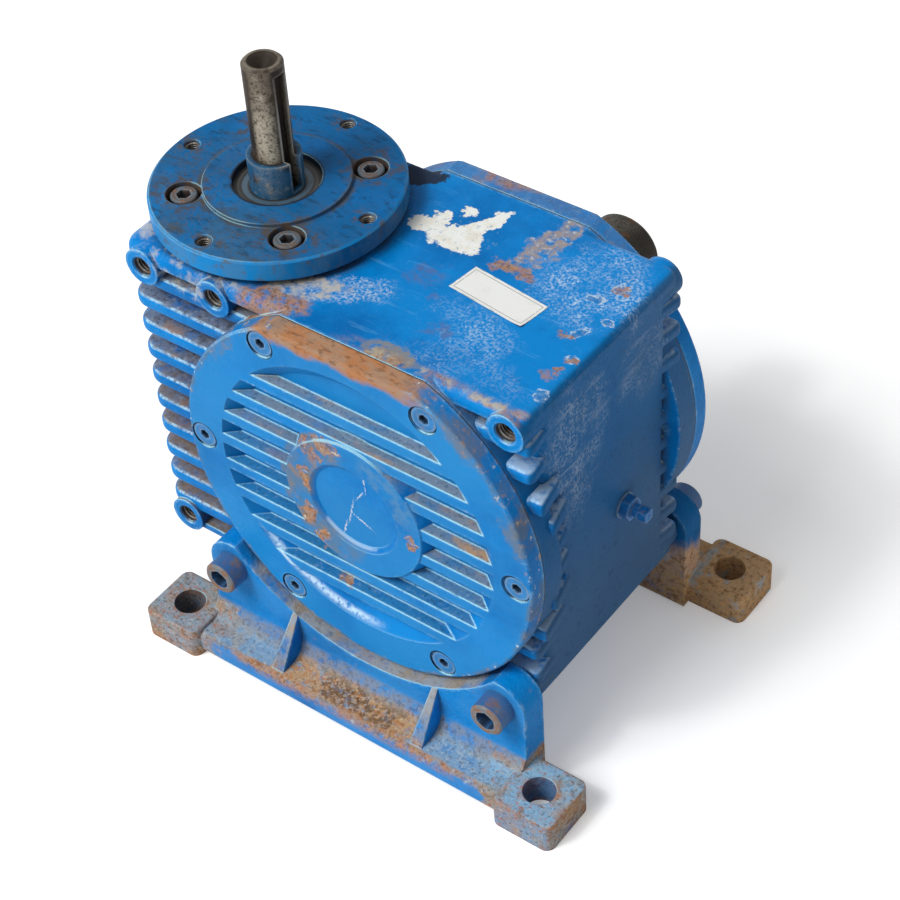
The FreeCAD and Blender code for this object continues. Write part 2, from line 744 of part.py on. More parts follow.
def rear_cover():
    """Cover with the output shaft's passage and the pocket of its oil seal."""
    face = cover_thickness + ring_boss_rise
    pocket = along_z(output_seal_radius, output_seal_low, face)
    passage = along_z(output_seal_radius - seal_shelf, cover_level(wheel_cup_face), output_seal_low)
    return rear_copy(placed(cover_blank().cut([pocket, passage]), V(0, -cover_seat, 0), FRONT))


def front_cover_screws():
    """Flat head screws of the front cover."""
    screw = countersunk_screw(cover_screw, cover_thickness + gasket_thickness - screw_head_sink)
    return group([placed(screw, V(x, screw_head_sink - cover_face, z), FRONT)
                  for x, z in around(cover_screw_count, cover_screw_circle)])


# Input flange and end cap, drawn about Z with their heights in place
def input_flange():
    """Motor flange with a raised spigot, counterbored screws and tapped holes on the rim."""
    rim_low = flange_seat + flange_hub_rise
    spigot_top = flange_top + spigot_height
    edge = flange_radius - flange_edge_chamfer
    pilot = worm_bearing["outer"] - pilot_gap
    shelf = input_seal_radius - seal_shelf
    profile = [(pilot - pilot_wall, worm_cup_face), (pilot, worm_cup_face), (pilot, flange_seat)]
    profile += [(flange_hub_radius, flange_seat), (flange_hub_radius, rim_low), (edge, rim_low)]
    profile += [(flange_radius, rim_low + flange_edge_chamfer), (flange_radius, flange_top - flange_edge_chamfer)]
    profile += [(edge, flange_top), (spigot_radius, flange_top), (spigot_radius, spigot_top)]
    profile += [(input_seal_radius, spigot_top), (input_seal_radius, input_seal_low), (shelf, input_seal_low)]
    profile += [(shelf, flange_seat), (pilot - pilot_wall, flange_seat)]
    cuts = []
    for x, y in around(flange_screw_count, flange_screw_circle, math.pi / 4):
        cuts.append(along_z(flange_counterbore_radius, flange_head_seat, spigot_top, x, y))
        cuts.append(along_z(flange_screw["radius"] + screw_hole_gap, flange_seat, flange_head_seat, x, y))
    tap_low = rim_low + flange_edge_chamfer
    tap = turned([(0, tap_low), (flange_tap_radius, tap_low),
                  (flange_tap_radius, flange_top - flange_tap_mouth + flange_tap_radius),
                  (flange_tap_mouth, flange_top), (0, flange_top)])
    cuts += [placed(tap, V(x, y, 0)) for x, y in around(flange_tap_count, flange_tap_circle)]
    return on_worm(turned(profile).cut(cuts))


def flange_gasket():
    """Joint under the input flange."""
    places = around(flange_screw_count, flange_screw_circle, math.pi / 4)
    ring = gasket(worm_bore_radius, flange_hub_radius, places, flange_screw["radius"] + screw_hole_gap)
    return placed(ring, V(worm_axis_x, 0, housing_half_height))


def flange_screws():
    """Cap screws of the input flange."""
    screw = socket_cap_screw(flange_screw, flange_head_seat - housing_half_height)
    return group([placed(screw, V(worm_axis_x + x, y, flange_head_seat))
                  for x, y in around(flange_screw_count, flange_screw_circle, math.pi / 4)])


def end_cap():
    """Blind cap under the worm, drawn upside down."""
    face = flange_seat + cap_thickness
    edge = cap_radius - cover_edge_chamfer
    pilot = worm_bearing["outer"] - pilot_gap
    profile = [(0, flange_seat), (pilot - pilot_wall, flange_seat), (pilot - pilot_wall, worm_cup_face)]
    profile += [(pilot, worm_cup_face), (pilot, flange_seat), (cap_radius, flange_seat)]
    profile += [(cap_radius, face - cover_edge_chamfer), (edge, face), (0, face)]
    holes = [along_z(cap_screw["radius"] + screw_hole_gap, flange_seat, face, x, y)
             for x, y in around(cap_screw_count, cap_screw_circle, math.pi / 4)]
    return placed(turned(profile).cut(holes), V(worm_axis_x, 0, 0), DOWN)


def end_cap_gasket():
    """Joint above the end cap."""
    places = around(cap_screw_count, cap_screw_circle, math.pi / 4)
    ring = gasket(worm_bore_radius, cap_radius, places, cap_screw["radius"] + screw_hole_gap)
    return placed(ring, V(worm_axis_x, 0, -housing_half_height), DOWN)


def end_cap_screws():
    """Cap screws of the end cap, heads down."""
    screw = socket_cap_screw(cap_screw, cap_thickness + gasket_thickness)
    return group([placed(screw, V(worm_axis_x + x, y, -flange_seat - cap_thickness), DOWN)
                  for x, y in around(cap_screw_count, cap_screw_circle, math.pi / 4)])


# Feet
def gusset(x, front, back):
    """Web between a foot's plate and its bar, thinner towards the top."""
    low, high = bar_bottom, -math.sqrt(foot_arc_radius ** 2 - gusset_x ** 2)
    left = x - gusset_base_width / 2
    side = prism([V(left, back, low), V(left, front, low), V(left, front, bar_top), V(left, plate_front, high),
                  V(left, back, high)], V(gusset_base_width, 0, 0))
    taper = prism([V(left, front, low), V(left + gusset_base_width, front, low), V(left + gusset_base_width, front, bar_top),
                   V(x + gusset_top_width / 2, front, high), V(x - gusset_top_width / 2, front, high),
                   V(left, front, bar_top)], V(0, back - front, 0))
    return side.common(taper)


def front_foot():
    """Cast foot: two pads on a bar, an upright plate bolted to the housing and two gussets."""
    pad_x = foot_pad_length / 2
    pad_y = foot_pad_width / 2
    plate_x = boss_x + foot_ear_radius
    bar_front = pad_front + foot_bar_inset
    back = -housing_half_width
    pieces = []
    bar = block(V(-plate_x, bar_front, bar_bottom), V(plate_x, back, bar_top))
    front_edges = edges_at(bar, lambda point: abs(point.y - bar_front) < 0.1 and abs(point.x) < 0.1)
    pieces.append(bar.makeFillet(foot_bar_round, front_edges))
    for side in (-1, 1):
        x = side * foot_hole_x
        pad = block(V(x - pad_x, -foot_hole_y - pad_y, -axle_height), V(x + pad_x, pad_y - foot_hole_y, pad_top))
        upright = edges_at(pad, lambda point: abs(point.z - (pad_top - axle_height) / 2) < 0.1)
        pad = pad.makeFillet(foot_pad_round, upright)
        pieces.append(pad.makeFillet(foot_pad_edge_round, edges_at(pad, lambda point: point.z > pad_top - 0.1)))
        pieces.append(along_y(foot_ear_radius, plate_front, back, side * boss_x, -boss_z))
        pieces.append(gusset(side * gusset_x, bar_front + foot_bar_round, back))
    pieces.append(block(V(-plate_x, plate_front, bar_bottom), V(plate_x, back, -boss_z)))
    pieces.append(block(V(-boss_x, plate_front, -boss_z), V(boss_x, back, foot_ear_radius - boss_z)))
    root = block(V(-plate_x, plate_front - foot_root_round, bar_top), V(plate_x, plate_front, bar_top + foot_root_round))
    hollow = Part.makeCylinder(foot_root_round, 2 * plate_x,
                               V(-plate_x, plate_front - foot_root_round, bar_top + foot_root_round), RIGHT)
    pieces.append(root.cut(hollow))
    cuts = [along_y(foot_arc_radius, 2 * plate_front, back)]
    for side in (-1, 1):
        cuts.append(along_z(foot_hole_radius, -axle_height, pad_top, side * foot_hole_x, -foot_hole_y))
        cuts.append(along_y(foot_bolt["radius"] + screw_hole_gap, plate_front, back, side * boss_x, -boss_z))
    return joined(pieces).cut(cuts)


def front_foot_bolts():
    """Cap bolts of the front foot."""
    bolt = socket_cap_screw(foot_bolt, foot_plate_thickness)
    return group([placed(bolt, V(side * boss_x, plate_front, -boss_z), FRONT) for side in (-1, 1)])


# Oil plug, drawn about Z with the housing's face at Z = 0
def plug_bushing():
    """Hexagon reducing bushing in the right face."""
    body = joined([polygon_bar(6, bushing_flats, 0, bushing_length), along_z(bushing_rim_radius, 0, bushing_rim_length),
                   along_z(bushing_thread_radius, -plug_thread_length, 0)])
    body = body.cut(along_z(plug_thread_radius + thread_gap, -plug_thread_length, bushing_length))
    return placed(body, V(right_face, plug_y, plug_z), RIGHT)


def oil_plug():
    """Square headed plug in the bushing."""
    collar_top = bushing_length + plug_collar_length
    body = joined([along_z(plug_thread_radius, bushing_length - plug_thread_length, bushing_length),
                   along_z(plug_collar_radius, bushing_length, collar_top),
                   polygon_bar(4, plug_square, collar_top, collar_top + plug_head_length)])
    return placed(body, V(right_face, plug_y, plug_z), RIGHT)


# Pieces by name
parts = {}
parts["housing"] = housing()
parts["front_cover"] = front_cover()
parts["rear_cover"] = rear_cover()
parts["front_cover_gasket"] = front_gasket()
parts["rear_cover_gasket"] = rear_copy(parts["front_cover_gasket"])
parts["front_cover_screws"] = front_cover_screws()
parts["rear_cover_screws"] = rear_copy(parts["front_cover_screws"])
parts["input_flange"] = input_flange()
parts["input_flange_gasket"] = flange_gasket()
parts["input_flange_screws"] = flange_screws()
parts["worm_end_cap"] = end_cap()
parts["worm_end_cap_gasket"] = end_cap_gasket()
parts["worm_end_cap_screws"] = end_cap_screws()
parts["front_foot"] = front_foot()
parts["rear_foot"] = rear_copy(parts["front_foot"])
parts["front_foot_bolts"] = front_foot_bolts()
parts["rear_foot_bolts"] = rear_copy(parts["front_foot_bolts"])
parts["oil_plug_bushing"] = plug_bushing()
parts["oil_plug"] = oil_plug()
input_seal = oil_seal(input_seal_radius, input_shoulder_radius, input_seal_width)
parts["input_oil_seal"] = placed(input_seal, V(worm_axis_x, 0, input_seal_low))
output_seal = oil_seal(output_seal_radius, wheel_bearing["bore"] - press_gap, output_seal_width)
parts["output_oil_seal"] = placed(output_seal, V(0, cover_seat + output_seal_low, 0), REAR)
parts["worm_shaft"] = on_worm(worm_shaft())
parts["wheel_rim"] = wheel_rim()
parts["wheel_hub"] = wheel_centre()
parts["wheel_rim_bolts"] = wheel_bolts()
parts["output_shaft"] = output_shaft()
parts["wheel_key"] = wheel_key_slot(0.0)
parts["front_spacer"] = spacer()
parts["rear_spacer"] = rear_copy(parts["front_spacer"])
bearings = [("upper_worm", worm_bearing, V(worm_axis_x, 0, worm_shoulder), UP),
            ("lower_worm", worm_bearing, V(worm_axis_x, 0, -worm_shoulder), DOWN),
            ("front_wheel", wheel_bearing, V(0, -wheel_shoulder, 0), FRONT),
            ("rear_wheel", wheel_bearing, V(0, wheel_shoulder, 0), REAR)]
for label, size, place, direction in bearings:
    for piece, shape in bearing_pieces(size, place, direction).items():
        parts[label + "_bearing_" + piece] = shape

os.makedirs("parts", exist_ok=True)
for name, shape in parts.items():
    lifted = shape.copy()
    lifted.translate(V(0, 0, axle_height))
    lifted.exportStep("parts/" + name + ".step")
    print(name, len(lifted.Solids), "solids,", round(lifted.Volume / 1000, 2), "cm3")
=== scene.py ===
# %% [markdown]
# # A worn worm gear reducer
# The reducer is a blue casting that has spent years in a workshop. Its solids come from the packed model,
# in metres, with the feet standing on Z = 0. This lesson gives each solid its finish and adds the small
# things that solids leave out: screw threads in the open holes, blunt fin noses and a blank sticker.

# %% Load the frame
import math

import bpy
from mathutils import Matrix, Vector


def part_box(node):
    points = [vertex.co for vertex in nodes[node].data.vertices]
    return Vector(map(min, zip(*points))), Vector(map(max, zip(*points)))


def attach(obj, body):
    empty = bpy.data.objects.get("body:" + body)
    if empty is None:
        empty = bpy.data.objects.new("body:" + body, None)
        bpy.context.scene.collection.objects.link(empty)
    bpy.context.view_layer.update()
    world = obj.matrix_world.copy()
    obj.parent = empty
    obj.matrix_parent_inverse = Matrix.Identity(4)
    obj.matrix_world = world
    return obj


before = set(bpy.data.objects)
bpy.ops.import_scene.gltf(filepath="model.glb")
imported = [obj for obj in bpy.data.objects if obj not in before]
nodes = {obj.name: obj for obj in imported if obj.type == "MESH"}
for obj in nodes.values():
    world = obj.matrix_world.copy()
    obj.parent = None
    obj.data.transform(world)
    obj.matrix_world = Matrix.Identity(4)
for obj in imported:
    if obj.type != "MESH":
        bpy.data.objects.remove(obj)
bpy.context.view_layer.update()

# %% [markdown]
# ## Places that later cells need
# The shafts' axes and the main faces could be typed in, but they are read from the nodes' own boxes, so that
# the paint and the sticker follow them if the solids change. The places of the holes and of the screws don't
# show in a box, so they are named once, where they are first needed.

# %% Read the main places from the solids
def middle(node):
    """Centre of a node's box."""
    low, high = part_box(node)
    return (low + high) / 2


axle = middle("wheel_rim")
worm_axis = middle("input_oil_seal")
deck_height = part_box("front_cover_gasket")[1].z
housing_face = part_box("front_cover_gasket")[1].y
cover_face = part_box("front_cover")[0].y
flange_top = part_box("input_flange")[1].z
print("axle", axle, "worm", worm_axis, "deck", deck_height)

# %% [markdown]
# ## Camera
# A photograph of a machine is easiest to match when the camera is solved from it first. The lens, the place
# and the slight tilt below put the solids on the same pixels as the photograph. A long lens keeps the
# upright edges nearly parallel, which is why the camera stands well over a metre away.

# %% Make the camera
camera_place = Vector((0.6171, -0.7571, 1.0707))
camera_target = Vector((0.00816, -0.00983, 0.15160))
camera_roll = math.radians(-4.204)
camera_data = bpy.data.cameras.new("photo_camera")
camera_data.lens = 90.7
camera_data.sensor_width = 36.0
camera = bpy.data.objects.new("photo_camera", camera_data)
bpy.context.scene.collection.objects.link(camera)
view = (camera_target - camera_place).to_track_quat("-Z", "Y").to_matrix().to_4x4()
view = view @ Matrix.Rotation(camera_roll, 4, "Z")
view.translation = camera_place
camera.matrix_world = view
bpy.context.scene.camera = camera
print("camera", tuple(round(value, 3) for value in camera_place), "lens", camera_data.lens)

# %% [markdown]
# ## Floor
# The studio is a white sweep. Its floor is a large pale plane that takes the shadow. It also gives off a
# little light that only the camera sees, so it comes out white without lighting the object from below.

# %% Make the floor
bpy.context.scene.view_settings.view_transform = "Standard"
bpy.ops.object.select_all(action="DESELECT")
bpy.ops.mesh.primitive_plane_add(size=12.0)
floor = bpy.context.active_object
floor.name = "studio_floor"
floor_paint = bpy.data.materials.new("studio_floor")
floor_paint.use_nodes = True
floor_tree = floor_paint.node_tree
floor_look = floor_tree.nodes["Principled BSDF"].inputs
floor_look["Base Color"].default_value = (0.97, 0.97, 0.97, 1)
floor_look["Roughness"].default_value = 0.9
floor_look["Specular IOR Level"].default_value = 0.2
floor_look["Emission Color"].default_value = (1, 1, 1, 1)
straight = floor_tree.nodes.new("ShaderNodeLightPath")
lift = floor_tree.nodes.new("ShaderNodeMath")
lift.operation = "MULTIPLY"
lift.inputs[1].default_value = 0.22
floor_tree.links.new(straight.outputs["Is Camera Ray"], lift.inputs[0])
floor_tree.links.new(lift.outputs[0], floor_look["Emission Strength"])
floor.data.materials.append(floor_paint)
print("floor", tuple(floor.dimensions))


# %% [markdown]
# ## Lamps and surround
# Area lamps would do, but their light fades with distance, so the rear foot would come out darker. Suns give
# the same light everywhere: a broad soft one from the front left for the shade, and a small weak one beside
# it that only draws glints along edges. With an even white surround, colours then come out about as they are
# written. The camera, mirrors and clear things see the surround as pure white, while the light that it gives
# the object stays at a plain level.

# %% Make the lamps and the surround
def far_lamp(name, place, energy, angle):
    """Sun that shines from a place towards the axle."""
    data = bpy.data.lights.new(name, "SUN")
    data.energy = energy
    data.angle = math.radians(angle)
    lamp = bpy.data.objects.new(name, data)
    bpy.context.scene.collection.objects.link(lamp)
    lamp.matrix_world = (axle - Vector(place)).to_track_quat("-Z", "Y").to_matrix().to_4x4()


far_lamp("soft_sun", (-0.8, -1.6, 2.1), 2.15, 36)
far_lamp("glint_lamp", (-0.7, -1.4, 2.2), 0.5, 7)
world = bpy.data.worlds.new("white_surround")
bpy.context.scene.world = world
world.use_nodes = True
surround = world.node_tree
lighting = surround.nodes["Background"]
lighting.inputs["Color"].default_value = (1, 1, 1, 1)
lighting.inputs["Strength"].default_value = 0.37
seen = surround.nodes.new("ShaderNodeBackground")
seen.inputs["Color"].default_value = (1, 1, 1, 1)
seen.inputs["Strength"].default_value = 1.0
path = surround.nodes.new("ShaderNodeLightPath")
direct = surround.nodes.new("ShaderNodeMath")
direct.operation = "MAXIMUM"
surround.links.new(path.outputs["Is Camera Ray"], direct.inputs[0])
surround.links.new(path.outputs["Is Transmission Ray"], direct.inputs[1])
clear = surround.nodes.new("ShaderNodeMath")
clear.operation = "MAXIMUM"
surround.links.new(direct.outputs[0], clear.inputs[0])
surround.links.new(path.outputs["Is Glossy Ray"], clear.inputs[1])
choice = surround.nodes.new("ShaderNodeMixShader")
surround.links.new(clear.outputs[0], choice.inputs[0])
surround.links.new(lighting.outputs[0], choice.inputs[1])
surround.links.new(seen.outputs[0], choice.inputs[2])
surround.links.new(choice.outputs[0], surround.nodes["World Output"].inputs["Surface"])
print("lamps", len(bpy.data.lights), "surround", lighting.inputs["Strength"].default_value)

# %% [markdown]
# ## A kit of masks
# Wear is never even, so every finish needs masks that say where it goes. They could be painted by hand, but
# a mask made of shader nodes fits any shape and never shows pixels. Here masks come from noise, from the way
# a face points, from how open or how sharp the place is, and from patches at a chosen spot. A patch is a soft
# ball whose coordinates are pushed about by noise first, which tears its outline.

# %% Define the masks
def tone(red, green, blue):
    """Linear colour from picture values of 0 to 255."""
    shares = [value / 255 for value in (red, green, blue)]
    linear = [share / 12.92 if share <= 0.04045 else ((share + 0.055) / 1.055) ** 2.4 for share in shares]
    return (*linear, 1.0)


class MaskKit:
    """A material's nodes, and masks that say where on the object a place is."""

    def __init__(self, name, colour, roughness, shine=0.5, metal=0.0):
        self.material = bpy.data.materials.new(name)
        self.material.use_nodes = True
        self.tree = self.material.node_tree
        self.shader = self.tree.nodes["Principled BSDF"]
        self.shader.inputs["Specular IOR Level"].default_value = shine
        self.shader.inputs["Metallic"].default_value = metal
        source = self.tree.nodes.new("ShaderNodeTexCoord")
        self.place = source.outputs["Object"]
        self.normal = source.outputs["Normal"]
        self.made = {}
        self.colour = colour
        self.roughness = roughness

    def node(self, kind, inputs, output=0, **settings):
        """New node with its settings and inputs, as one of its outputs."""
        node = self.tree.nodes.new(kind)
        for setting, value in settings.items():
            setattr(node, setting, value)
        for socket, value in inputs.items():
            self.plug(node.inputs[socket], value)
        return node.outputs[output]

    def plug(self, socket, value):
        """Gives a socket another node's output, or a plain value."""
        if isinstance(value, bpy.types.NodeSocket):
            self.tree.links.new(value, socket)
        else:
            socket.default_value = value

    def sum(self, first, second, operation="ADD"):
        """Arithmetic on two values."""
        return self.node("ShaderNodeMath", {0: first, 1: second}, operation=operation)

    def both(self, first, *others):
        """Mask where all the masks are."""
        for other in others:
            first = self.sum(first, other, "MULTIPLY")
        return first

    def step(self, value, low, high):
        """Soft step from 0 at low to 1 at high."""
        return self.node("ShaderNodeMapRange", {"Value": value, "From Min": low, "From Max": high},
                         interpolation_type="SMOOTHSTEP")

    def noise(self, scale, detail=5.0, stretch=(1, 1, 1)):
        """Cloudy values about one half, with features about a metre over scale in size."""
        key = (scale, detail, stretch)
        if key not in self.made:
            place = self.node("ShaderNodeMapping", {"Vector": self.place, "Scale": stretch})
            look = {"Vector": place, "Scale": scale, "Detail": detail, "Roughness": 0.62}
            self.made[key] = self.node("ShaderNodeTexNoise", look)
        return self.made[key]

    def flecks(self, scale, low, high, detail=5.0, stretch=(1, 1, 1)):
        """Broken mask cut out of noise between two levels."""
        return self.step(self.noise(scale, detail, stretch), low, high)

    def axis(self, letter):
        """One coordinate of the place."""
        if "axes" not in self.made:
            node = self.tree.nodes.new("ShaderNodeSeparateXYZ")
            self.plug(node.inputs[0], self.place)
            self.made["axes"] = node.outputs
        return self.made["axes"][letter]

    def along(self, first, second):
        """Dot product of two directions."""
        return self.node("ShaderNodeVectorMath", {0: first, 1: second}, "Value", operation="DOT_PRODUCT")

    def facing(self, direction, low=0.5, high=0.9):
        """Mask of the faces that point one way."""
        key = ("facing", direction)
        if key not in self.made:
            self.made[key] = self.along(self.normal, direction)
        return self.step(self.made[key], low, high)

    def crevice(self, reach, low=0.8, high=0.35):
        """Mask of corners and gaps, where the finishes lay dirt and painted shade."""
        openness = self.node("ShaderNodeAmbientOcclusion", {"Distance": reach}, "AO", samples=6)
        return self.step(openness, low, high)

    def edge(self, reach, low=0.93, high=0.72):
        """Mask of outer edges that wear first."""
        thickness = self.node("ShaderNodeAmbientOcclusion", {"Distance": reach}, "AO", samples=6,
                              inside=True, only_local=True)
        return self.step(thickness, low, high)

    def crest(self, direction, rounding=0.0014, low=0.74, high=0.90):
        """Mask of sharp edges, and of the roots beside them, that look one way and not to the right."""
        rounded = self.node("ShaderNodeBevel", {"Radius": rounding}, samples=6)
        chosen = self.step(self.along(rounded, direction), low, high)
        bent = self.step(self.along(rounded, self.normal), 0.99, 0.93)
        not_right = self.step(self.along(rounded, (1, 0, 0)), 0.30, 0.16)
        return self.both(chosen, bent, not_right)

    def torn_place(self, reach, detail):
        """The place, pushed about by noise so that outlines come out torn or wavy."""
        key = ("torn", reach, detail)
        if key not in self.made:
            look = {"Vector": self.place, "Scale": 0.5 / reach, "Detail": detail, "Roughness": 0.65}
            cloud = self.node("ShaderNodeTexNoise", look, "Color")
            push = self.node("ShaderNodeVectorMath", {0: cloud, 1: (0.5, 0.5, 0.5)}, operation="SUBTRACT")
            push = self.node("ShaderNodeVectorMath", {0: push, "Scale": 5 * reach}, operation="SCALE")
            self.made[key] = self.node("ShaderNodeVectorMath", {0: self.place, 1: push}, operation="ADD")
        return self.made[key]

    def patch(self, centre, size, turn=(0, 0, 0), low=0.18, high=0.30, torn=0.004, detail=6.0):
        """Mask of a spot with a torn outline."""
        place = self.node("ShaderNodeMapping", {"Vector": self.torn_place(torn, detail), "Location": centre,
                                                "Rotation": turn, "Scale": size}, vector_type="TEXTURE")
        spot = self.node("ShaderNodeTexGradient", {"Vector": place}, "Fac", gradient_type="SPHERICAL")
        return self.step(spot, low, high)

    def ring(self, centre, axis, inner, outer, soft=0.0015):
        """Mask between two radii about an axis."""
        kept = tuple(0.0 if letter == axis else 1.0 for letter in "XYZ")
        offset = self.node("ShaderNodeVectorMath", {0: self.place, 1: centre}, operation="SUBTRACT")
        flat = self.node("ShaderNodeVectorMath", {0: offset, 1: kept}, operation="MULTIPLY")
        radius = self.node("ShaderNodeVectorMath", {0: flat}, "Value", operation="LENGTH")
        past_inner = self.step(radius, inner - soft, inner + soft)
        within_outer = self.step(radius, outer + soft, outer - soft)
        return self.both(past_inner, within_outer)


print("masks:", [name for name in vars(MaskKit) if name[0] != "_"])

# %% [markdown]
# ## A kit of films
# Old paint is a stack of films: fresh colour, faded colour, dust, grime, rust, bare primer. Wiring each film
# by hand would take hundreds of lines, so this class keeps the colour and the roughness that have been laid
# so far, and every `lay` call puts one more film over them through a mask. Most films are also broken up by
# flecks of noise, because a clean outline looks printed.


# %% Define the films
class Finish(MaskKit):
    """One material, built up film by film."""

    def mixed(self, mask, under, over, strength):
        """Colour or value between two, by a mask."""
        amount = self.both(mask, strength) if strength < 1 else mask
        if isinstance(over, tuple):
            return self.node("ShaderNodeMix", {0: amount, 6: under, 7: over}, 2, data_type="RGBA")
        return self.node("ShaderNodeMix", {0: amount, 2: under, 3: over}, 0, data_type="FLOAT")

    def lay(self, mask, colour, roughness, strength=1.0):
        """Puts one more film over the rest through a mask."""
        self.colour = self.mixed(mask, self.colour, colour, strength)
        self.roughness = self.mixed(mask, self.roughness, roughness, strength)

    def broken(self, mask, flecks, colour, roughness, strength=1.0, stretch=(1, 1, 1)):
        """Lays a film through a mask that is broken up by flecks, given as scale, low and high."""
        self.lay(self.both(mask, self.flecks(*flecks, stretch=stretch)), colour, roughness, strength)

    def scuff(self, mask, colour, strength):
        """Lays a scuffed film: fine grain that comes and goes in clouds."""
        clouds = self.both(mask, self.flecks(48, 0.32, 0.62), self.flecks(620, 0.42, 0.64))
        self.broken(clouds, (150, 0.24, 0.52), colour, 0.55, strength)

    def rust(self, mask, strength=0.9):
        """Lays tan, orange and brown rust through a mask."""
        self.broken(mask, (170, 0.32, 0.56), rust_tan, 0.85, strength)
        self.broken(mask, (230, 0.46, 0.64), rust_orange, 0.85, 0.5 * strength)
        self.broken(mask, (380, 0.50, 0.66), rust_brown, 0.85, 0.65 * strength)
        self.broken(mask, (640, 0.52, 0.64), tone(84, 58, 40), 0.85, 0.6 * strength)

    def relief(self, height, depth, strength=0.5, rounding=0.0012):
        """Raises the surface a little by a value, and lets sharp edges catch the light."""
        rounded = self.node("ShaderNodeBevel", {"Radius": rounding}, samples=6)
        look = {"Height": height, "Distance": depth, "Strength": strength, "Normal": rounded}
        self.plug(self.shader.inputs["Normal"], self.node("ShaderNodeBump", look))

    def put_on(self, *pieces):
        """Closes the stack and gives the material to some nodes or pieces."""
        self.plug(self.shader.inputs["Base Color"], self.colour)
        self.plug(self.shader.inputs["Roughness"], self.roughness)
        for piece in pieces:
            mesh = nodes[piece].data if isinstance(piece, str) else piece.data
            mesh.materials.clear()
            mesh.materials.append(self.material)
        print(self.material.name, "on", len(pieces), "pieces,", len(self.tree.nodes), "shader nodes")


print("films:", [name for name in vars(Finish) if name[0] != "_"])

# %% [markdown]
# ## Colours of the finishes
# The colours were matched to lit places in the photograph. Blue comes in three ages, and dirt in two: pale
# dust, which lies on top of things, and dark grime, which is held in corners by oil. The grime colour also
# stands as painted shade in the corners.

# %% Name the colours
blue_fresh = tone(6, 130, 206)
blue_deep = tone(0, 102, 174)
blue_faded = tone(104, 172, 220)
primer_white = tone(222, 224, 220)
dust_cream = tone(196, 188, 172)
grime_and_shade_brown = tone(62, 54, 46)
rust_orange = tone(190, 116, 62)
rust_tan = tone(172, 136, 104)
rust_brown = tone(104, 70, 48)
print("blue", [round(value, 3) for value in blue_fresh[:3]])

# %% [markdown]
# ## Old blue paint
# The housing, the covers and the flange were sprayed together with a glossy blue and have aged in the same
# way. One function lays the films they share: cloudy blue, faded flecks, grime with painted shade in corners,
# and worn edges that show pale. Two more draw painted highlights along edges and lay dust. Each part then
# adds the marks that only it has. The shine is set low on purpose: old paint mirrors little, and a strong
# mirror of the white room would wash the blue out.

# %% Define the shared paint
highlight_way = (-0.1, -0.62, 0.78)


def aged_blue(name, grime_and_shade=0.8, reach=0.010, wear=0.75, lumps=0.35):
    """Glossy blue paint with the wear that all painted castings have."""
    paint = Finish(name, blue_deep, 0.36, shine=0.06)
    paint.lay(paint.flecks(9, 0.34, 0.58), blue_fresh, 0.26)
    paint.lay(paint.flecks(62, 0.54, 0.74), blue_deep, 0.34, 0.5)
    paint.lay(paint.flecks(150, 0.60, 0.74), blue_faded, 0.42, 0.14)
    paint.lay(paint.flecks(520, 0.61, 0.74), blue_faded, 0.45, 0.22)
    paint.lay(paint.flecks(380, 0.60, 0.72), tone(0, 74, 132), 0.40, 0.35)
    # Grime and painted shade: corners and gaps are laid dark brown.
    corners = paint.both(paint.crevice(reach), paint.flecks(60, 0.25, 0.60))
    paint.lay(corners, grime_and_shade_brown, 0.8, grime_and_shade)
    edges = paint.both(paint.edge(0.0026), paint.flecks(150, 0.38, 0.58))
    paint.lay(edges, blue_faded, 0.30, 0.7 * wear)
    paint.broken(edges, (260, 0.52, 0.66), primer_white, 0.5, 0.5 * wear)
    paint.relief(paint.sum(paint.noise(420), paint.noise(120)), 0.0008, lumps)
    return paint


def paint_edge_highlights(paint, amount, where=1.0, rounding=0.0014):
    """Painted highlights: bright lines along the edges that look up and forward."""
    # Painted highlight: pale cyan lines on the edges that face the lamps, up and forward.
    highlighted = paint.both(paint.crest(highlight_way, rounding), paint.flecks(110, 0.24, 0.48), where)
    paint.lay(highlighted, tone(178, 236, 254), 0.25, amount)


def lay_dust(paint, mask, amount):
    """Grey dust with pale, dark and tan flecks in it."""
    paint.broken(mask, (70, 0.26, 0.56), tone(128, 124, 116), 0.8, amount)
    paint.broken(mask, (260, 0.50, 0.68), tone(186, 190, 192), 0.75, 0.4 * amount)
    paint.broken(mask, (330, 0.48, 0.66), grime_and_shade_brown, 0.85, 0.8 * amount)
    paint.broken(mask, (40, 0.52, 0.66), tone(168, 128, 92), 0.85, 0.7 * amount)


print("rubbed edges look along", highlight_way)

# %% [markdown]
# ## The housing's fins and right side
# Dust lies on the fins, thick and grey on the left. The fin ends at the right get pale dust with a painted
# highlight, and the fin noses get painted highlight lines. The right side is laid darker all over as painted
# shade, with a dull film that gets thicker towards the bottom and rubbed hazy places above. Each film is held
# to its faces by the way they point and by their height, so no face has to be picked by hand.

# %% Lay the housing's broad films
housing = aged_blue("housing_paint")
top = deck_height
level = housing.facing((0, 0, 1))
deck_only = housing.both(level, housing.step(housing.axis("Z"), top - 0.006, top - 0.002))
right_only = housing.facing((1, 0, 0), 0.3, 0.8)
bushing_thread = 0.008
right_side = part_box("oil_plug_bushing")[0].x + bushing_thread
leftwards = housing.step(housing.axis("X"), right_side - 0.005, right_side - 0.05)
under_top = housing.step(housing.axis("Z"), top - 0.002, top - 0.007)
below_deck = housing.both(level, under_top)
lay_dust(housing, housing.both(below_deck, leftwards), 0.75)
low_fins = housing.both(below_deck, leftwards, housing.step(housing.axis("Z"), top - 0.07, top - 0.13))
housing.broken(low_fins, (80, 0.34, 0.58), tone(134, 108, 82), 0.85, 0.6)
